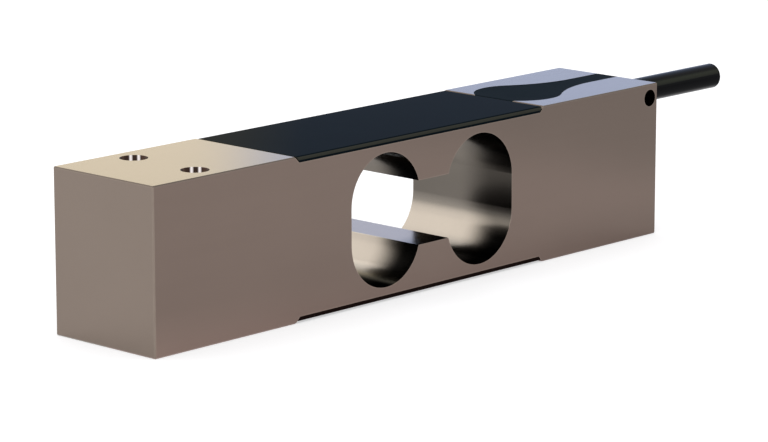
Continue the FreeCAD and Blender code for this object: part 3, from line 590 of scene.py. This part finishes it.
left_light = soft_share(tree, place["Y"], *LEFT_DEPTH)
lean = soft_share(tree, facing["Z"], *RIGHT_LEAN)
depth = calculate(tree, "ADD", place["Y"], between(tree, lean, *RIGHT_SHIFT))
edge_light = product(tree, soft_share(tree, facing["Z"], *EDGE_LIGHT_FADE), EDGE_LIGHT)
deep_part = inverse(tree, edge_light)
right_light = calculate(tree, "MULTIPLY_ADD", soft_share(tree, depth, *RIGHT_DEPTH), deep_part, edge_light)
print("full light at a depth, mm:", [round(ramp[1] / MM, 1) for ramp in (LEFT_DEPTH, RIGHT_DEPTH)])

# %% [markdown]
# From the foot to the roof
#
# Each lobe is round at its foot. There the colour is painted lighter as the wall turns up toward the light,
# and right at the bottom it is painted nearly black, as painted shade for the dark roof that it mirrors. The
# roof and the upper wall face away from the studio and are painted at half of their light. All three are
# ramps over how far the wall faces up.

# %% The lobes' foot and roof, and the painted light of the whole bore
LEFT_FOOT = (0.98, 0.84, 0.06)
RIGHT_FOOT = (0.99, 0.74, 0.08)
FOOT_SLOPE = (0.74, 0.84)
FOOT_LIGHT = 1.7
ROOF_FADE = (0.02, 0.3, 0.5)
SLOT_DEPTH = (-13.0 * MM, -5.0 * MM, 0.02)

left_light = product(tree, left_light, left_lobe, soft_share(tree, facing["Z"], *LEFT_FOOT))
right_light = product(tree, right_light, right_lobe, soft_share(tree, facing["Z"], *RIGHT_FOOT))
foot_light = between(tree, soft_share(tree, facing["Z"], *FOOT_SLOPE), 1.0, FOOT_LIGHT)
roof_light = soft_share(tree, facing["Z"], *ROOF_FADE)
wall_light = product(tree, calculate(tree, "ADD", left_light, right_light), foot_light, roof_light)
# painted shade: the slot's floor darkens toward the near face
slot_light = soft_share(tree, place["Y"], *SLOT_DEPTH)
print("light kept by the roof:", ROOF_FADE[2])

# %% [markdown]
# Colour and shine of the bore
# The painted shade and the painted light now colour the wall together. Where the foot lies level, the metal
# shine is taken away, so that there the wall shows only its painted dark colour and no reflection.

# %% The bore's colours, shine and roughness
BORE_PAINTED_LIGHT = (1.68, 1.86, 1.92, 1.0)
SLOT_PAINTED_LIGHT = (1.76, 1.66, 1.42, 1.0)
BORE_ROUGHNESS = 0.2
DULL_FOOT = (1.0, 0.93)

plain = base_colour(tree)
# painted light and shade: the wall's colour is lightened by the bore's tint and darkened by the ramps
wall_colour = shaded(tree, shaded(tree, plain, BORE_PAINTED_LIGHT), grey_of(tree, wall_light))
slot_colour = mix_colours(tree, slot_light, BLACK, shaded(tree, plain, SLOT_PAINTED_LIGHT))
lay_over(tree, lobes, wall_colour)
lay_over(tree, slot, slot_colour)
shine = calculate(tree, "MAXIMUM", soft_share(tree, facing_level, *DULL_FOOT), inverse(tree, lobes))
even = shader.inputs["Roughness"].links[0].from_socket
rougher = calculate(tree, "MAXIMUM", even, product(tree, lobes, BORE_ROUGHNESS))
print("the bar's nodes:", len(tree.nodes))

# %% [markdown]
# The broken edges
#
# Every outer edge of the bar is broken by a narrow slope. The upper ones would catch the soft boxes full on,
# as bright lines that the photograph doesn't have, so a mask of the slope tones them down: fully on the short
# edges and in part on the long ones.

# %% The upper slopes, toned down
SLOPE_SHADE = (0.5, 0.5, 0.5, 1.0)
SLOPE_HEIGHT = 14.2 * MM
SLOPE_FACING = (0.65, 0.27)
LONG_EDGE_FACING = 0.4
LONG_EDGE_SHARE = 0.6

outer = calculate(tree, "GREATER_THAN", height, SLOPE_HEIGHT)
tipped = calculate(tree, "COMPARE", facing["Z"], *SLOPE_FACING)
long_edge = calculate(tree, "GREATER_THAN", calculate(tree, "ABSOLUTE", facing["Y"]), LONG_EDGE_FACING)
slope = product(tree, outer, tipped, between(tree, long_edge, 1.0, LONG_EDGE_SHARE))
lay_over(tree, slope, shaded(tree, base_colour(tree), SLOPE_SHADE))
print("slopes begin, mm from the middle height:", SLOPE_HEIGHT / MM)

# %% [markdown]
# Reflections of reflections
#
# Inside the bore a ray bounces from wall to wall many times, and there the bore looks near black. Light Path
# tells the metal that it is being seen in another shiny surface, and there it answers with a darker, duller
# colour: painted shade in the metal's own reflections.

# %% Painted shade: a darker metal in its own reflections
SECOND_SIGHT = 0.12

mirrored = add_node(tree, "ShaderNodeLightPath").outputs["Is Glossy Ray"]
keep = between(tree, mirrored, 1.0, SECOND_SIGHT)
tree.links.new(mix_colours(tree, keep, BLACK, base_colour(tree)), shader.inputs["Base Color"])
tree.links.new(calculate(tree, "MAXIMUM", rougher, mirrored), shader.inputs["Roughness"])
tree.links.new(product(tree, inverse(tree, mirrored), shine), shader.inputs["Metallic"])
shader.inputs["Specular IOR Level"].default_value = 0.0
print("light kept in a second reflection:", SECOND_SIGHT)

# %% [markdown]
# The black pieces
#
# The two covers, the resin and the cable's sheath are all a black with some blue in it, and none of them
# shines much. A specular level near zero keeps the pale studio out of them.

# %% Covers, resin and sheath
add_finish(
    "cover_black",
    rgb(10, 20, 26),
    polymer_finish,
    {"Roughness": 0.08, "Roughness Spread": 0.02, "Tone Spread": 0.1},
    rgb(40, 42, 38),
    {"Width": 0.3 * MM, "Strength": 0.8},
    (0.03, 0.01 * MM),
    {"Specular IOR Level": 0.0006},
)
dress("cover_black", "top_cover", "bottom_cover")

add_finish(
    "potting_black",
    rgb(14, 24, 29),
    polymer_finish,
    {"Roughness": 0.35, "Roughness Spread": 0.05, "Pebble Scale": 900.0, "Wave Scale": 90.0},
    rgb(48, 54, 60),
    {"Width": 0.2 * MM, "Strength": 0.4},
    (0.05, 0.03 * MM),
    {"Specular IOR Level": 0.001},
)
dress("potting_black", "pocket_potting")

add_finish(
    "cable_sheath",
    rgb(9, 11, 13),
    polymer_finish,
    {"Stretch": (0.04, 1.0, 1.0), "Pebble Scale": 2600.0, "Roughness": 0.15, "Roughness Spread": 0.03},
    rgb(40, 42, 40),
    {"Width": 0.3 * MM, "Strength": 0.4},
    (0.1, 0.02 * MM),
    {"Specular IOR Level": 0.035},
)
dress("cable_sheath", "cable_sheath_end", "cable_stub")

# %% [markdown]
# The covers' edges
#
# Both long edges of the top cover are rounded over, and the rounding carries a painted reflection: the black
# is painted an olive grey from the rounding down to near the foot of the side, where the plain black is left
# as a dark line. The slope of the surface tells where the rounding is, and the height where the foot is. The
# bottom cover is set back from sight; its upright sides below the bar's middle are given a dark brown, which
# shows as a dark line under the bar.

# %% A painted reflection on the top cover's edges, a brown side on the bottom one
REFLECTION_BAND_COLOUR = rgb(58, 59, 53)
BAND_SLOPE = (0.85, 0.65)
BAND_BOTTOM = (29.2 * MM, 29.34 * MM)
BOTTOM_SIDE = rgb(30, 20, 18)

tree = materials["cover_black"].node_tree
facing = split_vector(tree, "Normal")
place = split_vector(tree, "Object")
band = product(
    tree, soft_share(tree, facing["Z"], *BAND_SLOPE), soft_share(tree, place["Z"], *BAND_BOTTOM)
)
lay_over(tree, band, REFLECTION_BAND_COLOUR)
below = calculate(tree, "LESS_THAN", place["Z"], bar_middle.z)
sideways = calculate(tree, "LESS_THAN", calculate(tree, "ABSOLUTE", facing["Z"]), UPRIGHT)
lay_over(tree, product(tree, below, sideways), BOTTOM_SIDE)
print("band, mm above the base:", [round(limit / MM, 2) for limit in BAND_BOTTOM])

# %% [markdown]
# A painted highlight on the sheath's shoulders
#
# A faint olive band is painted on the sheath's two upper shoulders as a painted highlight, where a round
# sheath catches a line of light. How far the wall leans upward tells where that is.

# %% A faint painted highlight on the upper shoulders
HIGHLIGHT_BAND_COLOUR = rgb(34, 37, 29)
HIGHLIGHT_MIDDLE = 0.52
HIGHLIGHT_HALF = 0.24

tree = materials["cable_sheath"].node_tree
leaning = split_vector(tree, "Normal")["Z"]
off = calculate(tree, "MULTIPLY_ADD", leaning, 1 / HIGHLIGHT_HALF, -HIGHLIGHT_MIDDLE / HIGHLIGHT_HALF)
lay_over(tree, bell(tree, off), HIGHLIGHT_BAND_COLOUR)
print("veil, degrees up the side:", round(math.degrees(math.asin(HIGHLIGHT_MIDDLE))))

# %% [markdown]
# What lies under the covers and in the resin
#
# Nobody sees these pieces until the cell is taken apart, but each is a real piece with a finish of its own:
# amber film with copper pads, grids of resistance foil, green laminate, bright solder and coloured cores.

# %% Finishes of the hidden pieces
PLAIN_EDGE = {"Width": 0.05 * MM, "Strength": 0.3}
SMALL_BUMP = (0.1, 0.01 * MM)
EDGE_LIFT = 1.4
HIDDEN = (
    ("screen_braid", rgb(190, 186, 180), metal_finish, 1.0, 0.35, ("cable_screen",)),
    ("core_red", rgb(170, 30, 24), polymer_finish, 0.0, 0.45, ("core_red",)),
    ("core_black", rgb(26, 26, 28), polymer_finish, 0.0, 0.45, ("core_black",)),
    ("core_green", rgb(30, 120, 60), polymer_finish, 0.0, 0.45, ("core_green",)),
    ("core_white", rgb(222, 220, 212), polymer_finish, 0.0, 0.45, ("core_white",)),
    ("gauge_coat", rgb(214, 212, 202), polymer_finish, 0.0, 0.3, [n for n in nodes if n[:5] == "coat_"]),
    ("jumper_ribbon", rgb(200, 190, 178), metal_finish, 1.0, 0.3, ("top_jumpers", "bottom_jumpers")),
    ("board_laminate", rgb(36, 104, 62), polymer_finish, 0.0, 0.35, ("bridge_board",)),
    ("chip_ceramic", rgb(34, 34, 38), polymer_finish, 0.0, 0.5, ("span_resistors", "zero_resistor")),
    ("solder", rgb(196, 198, 202), metal_finish, 1.0, 0.22, ("solder_joints",)),
    ("screw_black", rgb(46, 46, 48), metal_finish, 1.0, 0.4, ("clamp_screw",)),
    ("gauge_foil", rgb(186, 132, 70), metal_finish, 0.6, 0.35, [n for n in nodes if n[:6] == "gauge_"]),
    ("flex_film", rgb(196, 128, 48), polymer_finish, 0.0, 0.3, ("top_flex", "bottom_flex")),
)
for slot, colour, group, metallic, roughness, names in HIDDEN:
    edge_colour = tuple(min(1.0, level * EDGE_LIFT) for level in colour[:3]) + (1.0,)
    values = {"Roughness": roughness}
    add_finish(slot, colour, group, values, edge_colour, PLAIN_EDGE, SMALL_BUMP, {"Metallic": metallic})
    dress(slot, *names)
print("materials:", len(materials))

# %% [markdown]
# Foil on film, copper on film
#
# A strain gauge is a folded grid of resistance foil on an amber carrier, and the flexible circuit is the same
# film with copper pads. Each is one solid in the drawing, and its metal is what stands proud of the film. So
# the distance from the bar's middle plane tells metal from film, in a group that both materials use.

# %% Metal where it stands proud of the film
FOIL_LEVEL = 13.9 * MM
PAD_LEVEL = 13.95 * MM


def build_proud_metal():
    group, given, result = new_group("proud_metal", {"Middle": 0.0, "Level": 0.0}, ["Mask"])
    split = add_node(group, "ShaderNodeSeparateXYZ", Vector=given["Coordinates"]).outputs
    off_middle = away_from(group, split["Z"], given["Middle"])
    group.links.new(calculate(group, "GREATER_THAN", off_middle, given["Level"]), result["Mask"])
    return group


proud_metal = build_proud_metal()
for slot, level, metal_colour in (
    ("gauge_foil", FOIL_LEVEL, rgb(206, 188, 160)),
    ("flex_film", PAD_LEVEL, rgb(214, 150, 112)),
):
    tree = materials[slot].node_tree
    place = add_node(tree, "ShaderNodeTexCoord").outputs["Object"]
    proud = place_group(tree, proud_metal, place, {"Middle": bar_middle.z, "Level": level})["Mask"]
    lay_over(tree, proud, metal_colour)
    tree.links.new(proud, tree.nodes["Principled BSDF"].inputs["Metallic"])
    print(slot, "is metal beyond, mm:", round(level / MM, 2))

# %% [markdown]
# The braid of the screen
#
# A screen is braided from bundles of tinned wire that wind round the cores both ways. Two sets of slanting
# lines, one for each way, cross into diamonds: the angle round the cable and the distance along it give both.

# %% Crossing bundles on the screen
BUNDLES = 8
BRAID_PITCH = 7.0 * MM
CABLE_HEIGHT = 25.6 * MM
BRAID_GAPS = rgb(60, 58, 56)
BRAID_RELIEF = 0.5

tree = materials["screen_braid"].node_tree
place = split_vector(tree, "Object")
angle = calculate(tree, "ARCTAN2", place["Y"], calculate(tree, "SUBTRACT", place["Z"], CABLE_HEIGHT))
around = calculate(tree, "MULTIPLY", angle, float(BUNDLES))
lines_per_metre = BUNDLES * math.tau / BRAID_PITCH
weave = 0.0
for hand in (1, -1):
    turn = calculate(tree, "MULTIPLY_ADD", place["X"], hand * lines_per_metre, around)
    bundle = calculate(tree, "ABSOLUTE", calculate(tree, "SINE", turn))
    weave = calculate(tree, "MAXIMUM", weave, bundle)
shader = tree.nodes["Principled BSDF"]
tree.links.new(mix_colours(tree, weave, BRAID_GAPS, base_colour(tree)), shader.inputs["Base Color"])
relief = shader.inputs["Normal"].links[0].from_node
relief.inputs["Strength"].default_value = BRAID_RELIEF
tree.links.new(weave, relief.inputs["Height"])
print("bundles each way:", BUNDLES)

# %% [markdown]
# The cable's free length
#
# The photograph shows the cable from where it leaves the end face to where it is cut off, as a short
# straight stub. A curve with a round bevel is the simplest true cord: its line is its centreline, and its
# length can be measured. The route repeats the drawing's: straight out along +X. The last bit is left to the
# cut end, which is made next.

# %% The route and the sheath
CABLE_RADIUS = 2.5 * MM
CABLE_LENGTH = 33.2 * MM
CUT_DEPTH = 0.6 * MM

stub_low, stub_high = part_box("cable_stub")
exit_point = Vector((bar_high.x, 0.0, (stub_low.z + stub_high.z) / 2))
tip_point = exit_point + Vector((CABLE_LENGTH, 0, 0))
sheath_tip = tip_point - Vector((CUT_DEPTH, 0, 0))
stops = (exit_point, (exit_point + sheath_tip) / 2, sheath_tip)

route = bpy.data.curves.new("cable_sheath_free", "CURVE")
route.dimensions = "3D"
line = route.splines.new("NURBS")
line.points.add(len(stops) - 1)
for point, stop in zip(line.points, stops):
    point.co = (*stop, 1.0)
line.order_u = 3
line.use_endpoint_u = True
route.bevel_depth = CABLE_RADIUS
route.bevel_resolution = 14
route.use_fill_caps = True
route.materials.append(materials["cable_sheath"])
cable = add_object("cable_sheath_free", route)
print("cable, mm:", round((tip_point - exit_point).length / MM, 1))

# %% [markdown]
# The cut end of the cable
#
# Where the cable was cut off, its section shows: the sheath's wall, the screen inside it, and four coloured
# cores, each with a few strands of copper. Each piece is an outline spun about its axis, which is how a lathe
# would make it. The spin closes on itself, so the doubles are merged and the faces are turned outward.

# %% Spinning an outline about a line along X
MERGE_WITHIN = 0.0005 * MM


def spin_outline(outline, centre, steps):
    """A bmesh from (along, radius) pairs spun about a line along X through the centre."""
    shape = bmesh.new()
    verts = [shape.verts.new(centre + Vector((along, 0, radius))) for along, radius in outline]
    edges = [shape.edges.new(pair) for pair in zip(verts, verts[1:])]
    bmesh.ops.spin(
        shape, geom=verts + edges, cent=centre, axis=(1, 0, 0), angle=math.tau, steps=steps, use_merge=True
    )
    bmesh.ops.remove_doubles(shape, verts=shape.verts, dist=MERGE_WITHIN)
    bmesh.ops.recalc_face_normals(shape, faces=shape.faces)
    return shape


def finish_mesh(name, shape, smooth=True):
    """Turns a bmesh into a mesh and frees it."""
    mesh = bpy.data.meshes.new(name)
    shape.to_mesh(mesh)
    shape.free()
    for face in mesh.polygons:
        face.use_smooth = smooth
    return mesh


def link_piece(name, shape, slot, material=None):
    """A bmesh as a piece that rides on the bar, with a slot's finish or a material of its own."""
    mesh = finish_mesh(name, shape)
    mesh.materials.append(materials[material or slot])
    piece = add_object(name, mesh)
    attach(piece, "root")
    print(name, "faces:", len(mesh.polygons))
    return piece


# %% The sheath's cut rim
SHEATH_WALL = 0.6 * MM
RIM_ROUNDING = 0.35 * MM
RIM_PARTS = 6
LIP_ROUNDING = 0.1 * MM
FILL_DROP = 0.25 * MM
RING_STEPS = 64

inner = CABLE_RADIUS - SHEATH_WALL
rim_outline = [(-CUT_DEPTH, 0.0), (-CUT_DEPTH, CABLE_RADIUS)]
for part in range(RIM_PARTS + 1):
    turn = part / RIM_PARTS * math.pi / 2
    along = -RIM_ROUNDING + RIM_ROUNDING * math.sin(turn)
    rim_outline.append((along, CABLE_RADIUS - RIM_ROUNDING + RIM_ROUNDING * math.cos(turn)))
rim_outline += [(0.0, inner + LIP_ROUNDING), (-LIP_ROUNDING, inner), (-FILL_DROP, inner), (-FILL_DROP, 0.0)]
rim_shape = spin_outline(rim_outline, tip_point, RING_STEPS)
cut_pieces = [link_piece("cable_cut_rim", rim_shape, "cable_sheath")]

# %% [markdown]
# Screen and cores at the cut
#
# The screen is a thin ring against the sheath's bore. Each core is a short round plug with a rounded rim,
# and seven strands stand in its middle, one with six round it, as stranded wire is made.

# %% The screen's ring and the four cores
SCREEN_WALL = 0.15 * MM
CORE_RADIUS = 0.55 * MM
CORE_CIRCLE = 0.95 * MM
CORE_STAND = 0.12 * MM
CORE_ROUNDING = 0.06 * MM
CORE_STEPS = 32
CORE_COLOURS = ("red", "black", "white", "green")
FIRST_CORE_ANGLE = 45

screen_outline = [
    (-FILL_DROP, inner),
    (-LIP_ROUNDING, inner),
    (-LIP_ROUNDING, inner - SCREEN_WALL),
    (-FILL_DROP, inner - SCREEN_WALL),
]
screen_shape = spin_outline(screen_outline, tip_point, RING_STEPS)
cut_pieces.append(link_piece("cable_cut_screen", screen_shape, "screen_braid"))


def spin_plug(centre, radius, high, rounding, steps):
    """A short round plug with a rounded rim that stands on the cut face."""
    outline = [(-FILL_DROP, radius), (high - rounding, radius), (high, radius - rounding), (high, 0.0)]
    return spin_outline(outline, centre, steps)


core_top = CORE_STAND - FILL_DROP
core_centres = []
for number, colour in enumerate(CORE_COLOURS):
    angle = math.radians(FIRST_CORE_ANGLE + 360 / len(CORE_COLOURS) * number)
    centre = tip_point + Vector((0, math.cos(angle), math.sin(angle))) * CORE_CIRCLE
    plug = spin_plug(centre, CORE_RADIUS, core_top, CORE_ROUNDING, CORE_STEPS)
    cut_pieces.append(link_piece(f"cable_cut_core_{colour}", plug, f"core_{colour}"))
    core_centres.append(centre)

# %% The copper strands
STRAND_RADIUS = 0.085 * MM
STRAND_SPACING = 2.05 * STRAND_RADIUS
STRAND_STAND = 0.05 * MM
STRAND_ROUNDING = 0.02 * MM
STRAND_STEPS = 12
OUTER_STRANDS = 6

add_finish(
    "copper_strand",
    rgb(206, 128, 88),
    metal_finish,
    {"Roughness": 0.3},
    rgb(236, 170, 130),
    PLAIN_EDGE,
    SMALL_BUMP,
    {"Metallic": 1.0},
)
ring_turns = [math.tau * number / OUTER_STRANDS for number in range(OUTER_STRANDS)]
ring = [Vector((0, math.cos(turn), math.sin(turn))) * STRAND_SPACING for turn in ring_turns]
strands = bmesh.new()
for centre in core_centres:
    for offset in (Vector((0, 0, 0)), *ring):
        top = core_top + STRAND_STAND
        strand = spin_plug(centre + offset, STRAND_RADIUS, top, STRAND_ROUNDING, STRAND_STEPS)
        mesh = finish_mesh("strand", strand)
        strands.from_mesh(mesh)
        bpy.data.meshes.remove(mesh)
cut_pieces.append(link_piece("cable_cut_strands", strands, "jumper_ribbon", "copper_strand"))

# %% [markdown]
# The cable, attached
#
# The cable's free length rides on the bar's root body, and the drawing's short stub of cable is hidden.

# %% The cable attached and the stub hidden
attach(cable, "root")
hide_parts("cable_stub")
print("pieces at the cut end:", len(cut_pieces))

# %% [markdown]
# The studio
#
# The photograph's background is pure white and the bar is lit softly, so the floor and the world are white
# where the camera and the metal see them, and dimmer where they would light the bar. That is what the Light
# Path node is for: it tells what kind of ray is asking.

# %% White for the camera, for metal and for glass; dim for the light
AMBIENT = (0.85, 0.85, 0.87, 1.0)

world = bpy.data.worlds.new("studio")
bpy.context.scene.world = world
world.use_nodes = True
tree = world.node_tree
path = add_node(tree, "ShaderNodeLightPath").outputs
seen = calculate(tree, "MAXIMUM", path["Is Camera Ray"], path["Is Glossy Ray"])
seen = calculate(tree, "MAXIMUM", seen, path["Is Transmission Ray"])
tree.links.new(mix_colours(tree, seen, AMBIENT, WHITE), tree.nodes["Background"].inputs["Color"])
print("ambient level:", AMBIENT[0])

# %% [markdown]
# The floor
#
# The floor is a sheet of pale paper. On top of its own diffuse white it glows a little, enough to reach
# white for the camera everywhere but right against the bar, where a trace of shadow is left.

# %% A paper floor
FLOOR_REACH = 4.0
FLOOR_DROP = 0.02 * MM
FLOOR_SHADE = 0.7

floor_shape = bmesh.new()
bmesh.ops.create_grid(floor_shape, x_segments=1, y_segments=1, size=FLOOR_REACH)
bmesh.ops.translate(floor_shape, verts=floor_shape.verts, vec=(0, 0, -FLOOR_DROP))
floor = add_object("floor", finish_mesh("floor", floor_shape, smooth=False))

paper = bpy.data.materials.new("studio_paper")
paper.use_nodes = True
tree = paper.node_tree
sheet = tree.nodes["Principled BSDF"]
sheet.inputs["Base Color"].default_value = (FLOOR_SHADE, FLOOR_SHADE, FLOOR_SHADE, 1.0)
sheet.inputs["Roughness"].default_value = 1.0
sheet.inputs["Specular IOR Level"].default_value = 0.0
floor.data.materials.append(paper)
print("floor, m across:", 2 * FLOOR_REACH)

# %% [markdown]
# What the metal sees of the floor
#
# The end face mirrors the paper to the left of the bar, the side face the paper in front and the bore the
# paper behind. Their tones differ, as over paper that is lit in pools, so the metal sees three pools, each a
# straight ramp from a low level to a high one. The front pool is warm, and next to the bar it grows brighter
# toward the loading end.

# %% The pool to the left and the pool behind
LEFT_POOL = (0.2, 0.6)
LEFT_POOL_EDGES = (-30.0 * MM, -67.0 * MM)
REAR_POOL = (0.2, 0.62)
REAR_POOL_EDGES = (48.0 * MM, 28.0 * MM)

spot = split_vector(tree, "Object")
left_pool = between(tree, straight_share(tree, spot["X"], *LEFT_POOL_EDGES), *LEFT_POOL)
behind = calculate(tree, "GREATER_THAN", spot["Y"], 0.0)
rear_share = product(tree, straight_share(tree, spot["Y"], *REAR_POOL_EDGES), behind)
back_pool = calculate(tree, "MAXIMUM", left_pool, between(tree, rear_share, *REAR_POOL))
print("pool levels:", LEFT_POOL, REAR_POOL)

# %% The pool in front
FRONT_POOL = (0.12, 0.33)
FRONT_POOL_EDGES = (130.0 * MM, 95.0 * MM)
FRONT_FADE = 25.0 * MM
FRONT_NEAR = 1.5
FRONT_NEAR_FALL = 10.0

in_front = product(
    tree,
    calculate(tree, "LESS_THAN", spot["Y"], 0.0),
    calculate(tree, "GREATER_THAN", spot["X"], bar_low.x),
)
front_pool = between(tree, straight_share(tree, spot["X"], *FRONT_POOL_EDGES), *FRONT_POOL)
away = straight_share(tree, spot["Y"], bar_low.y, bar_low.y - FRONT_FADE)
near_level = calculate(tree, "MULTIPLY_ADD", spot["X"], -FRONT_NEAR_FALL, FRONT_NEAR)
fade = calculate(tree, "MULTIPLY_ADD", away, inverse(tree, near_level), near_level)
front_pool = product(tree, front_pool, fade, in_front)
print("front pool levels:", FRONT_POOL)

# %% The floor's glow
CAMERA_GLOW = 0.52
FRONT_TINT = (1.0, 0.83, 0.86, 1.0)

path = add_node(tree, "ShaderNodeLightPath").outputs
mirrored = calculate(tree, "MAXIMUM", path["Is Glossy Ray"], path["Is Transmission Ray"])
sweep = calculate(tree, "ADD", product(tree, back_pool, inverse(tree, in_front)), front_pool)
warmth = mix_colours(tree, product(tree, in_front, mirrored), WHITE, FRONT_TINT)
mirror_glow = product(tree, mirrored, sweep)
glow = calculate(tree, "MULTIPLY_ADD", path["Is Camera Ray"], CAMERA_GLOW, mirror_glow)
tree.links.new(warmth, sheet.inputs["Emission Color"])
tree.links.new(glow, sheet.inputs["Emission Strength"])
print("the paper's nodes:", len(tree.nodes))

# %% [markdown]
# The lamps
#
# A metal bar is lit less by lamps than by what stands round it. Each lamp here is a large flat softbox that
# is named by where it stands as seen from the bar: its compass angle, its height in degrees, how wide and
# high it looks and how bright its face is, where 1 is as bright as white paper. The power that Blender asks
# for follows from that. The left box is four boxes that share a top edge and reach down to different heights,
# so that it grows brighter upward, as a real one does above its lower edge.

# %% Soft boxes, placed by angle
BOX_DISTANCE = 1.5


def soft_box(name, compass, height, wide, high, brightness, colour, lights_all=True):
    """A rectangular area lamp that faces the bar; angles in degrees, and +X is compass 0."""
    turn, lift = math.radians(compass), math.radians(height)
    heading = Vector((math.cos(turn) * math.cos(lift), math.sin(turn) * math.cos(lift), math.sin(lift)))
    data = bpy.data.lights.new(name, "AREA")
    data.shape = "RECTANGLE"
    data.size = 2 * BOX_DISTANCE * math.tan(math.radians(wide / 2))
    data.size_y = 2 * BOX_DISTANCE * math.tan(math.radians(high / 2))
    data.energy = brightness * math.pi * data.size * data.size_y
    data.color = colour
    lamp = add_object(name, data)
    lamp.location = bar_middle + heading * BOX_DISTANCE
    lamp.rotation_euler = (-heading).to_track_quat("-Z", "Y").to_euler()
    lamp.visible_camera = False
    lamp.visible_diffuse = lights_all


LEFT_TOP = 53.0
LEFT_STEPS = ((5, 0.3), (9, 0.27), (15, 0.24), (24, 0.2))
LEFT_COLOUR = (1.0, 0.96, 0.89)

soft_box("overhead", compass=100, height=78, wide=40, high=40, brightness=0.8, colour=(1.0, 0.98, 0.96))
for low_edge, brightness in LEFT_STEPS:
    middle, high = (low_edge + LEFT_TOP) / 2, LEFT_TOP - low_edge
    soft_box("left_box", 125.5, middle, 59, high, brightness, LEFT_COLOUR, lights_all=False)
soft_box("right_box", -33, 23, 30, 22, 1.1, (1.0, 1.0, 0.88), lights_all=False)
print("lamps:", len(bpy.data.lights))

# %% [markdown]
# The reflector card
#
# At this low angle the top of the bar is almost a mirror for what stands far behind it. The photograph's
# bar shows warm white near the loading end and a cool lavender white beyond it, so a large card stands
# there, warm on one side and cool on the other. Only shiny surfaces see it.

# %% A card behind the bar
CARD_COMPASS = math.radians(47)
CARD_DISTANCE = 1.2
CARD_WIDE = 2.2
CARD_HIGH = 1.1
QUARTER_TURN = math.pi / 2

card_shape = bmesh.new()
bmesh.ops.create_grid(card_shape, x_segments=1, y_segments=1, size=0.5)
bmesh.ops.scale(card_shape, verts=card_shape.verts, vec=(CARD_WIDE, CARD_HIGH, 1))
stand = Matrix.Rotation(CARD_COMPASS, 4, "Z") @ Matrix.Translation((CARD_DISTANCE, 0, CARD_HIGH / 2))
stand = stand @ Matrix.Rotation(QUARTER_TURN, 4, "Z") @ Matrix.Rotation(QUARTER_TURN, 4, "X")
bmesh.ops.transform(card_shape, matrix=stand, verts=card_shape.verts)
card = add_object("reflector_card", finish_mesh("reflector_card", card_shape, smooth=False))
card.visible_camera = False
card.visible_diffuse = False
card.visible_shadow = False
print("card, m:", CARD_WIDE, "by", CARD_HIGH)

# %% Warm to cool across the card
WARM_LIGHT = (1.5, 1.36, 1.06, 1.0)
COOL_LIGHT = (0.75, 0.875, 1.2, 1.0)
TURN_PLACE = -0.021
TURN_WIDTH = 0.045

card_paper = bpy.data.materials.new("reflector_card")
card_paper.use_nodes = True
tree = card_paper.node_tree
tree.nodes.remove(tree.nodes["Principled BSDF"])
room_place = add_node(tree, "ShaderNodeTexCoord").outputs["Object"]
turned = add_node(tree, "ShaderNodeMapping", Vector=room_place, Rotation=(0, 0, -CARD_COMPASS)).outputs[0]
sideways = add_node(tree, "ShaderNodeSeparateXYZ", Vector=turned).outputs["Y"]
warm_share = straight_share(tree, sideways, TURN_PLACE - TURN_WIDTH / 2, TURN_PLACE + TURN_WIDTH / 2)
shade = mix_colours(tree, warm_share, COOL_LIGHT, WARM_LIGHT)
glow = add_node(tree, "ShaderNodeEmission", Color=shade, Strength=1.0)
tree.links.new(glow.outputs[0], tree.nodes["Material Output"].inputs["Surface"])
card.data.materials.append(card_paper)
print("warm turns to cool over, mm:", TURN_WIDTH / MM)
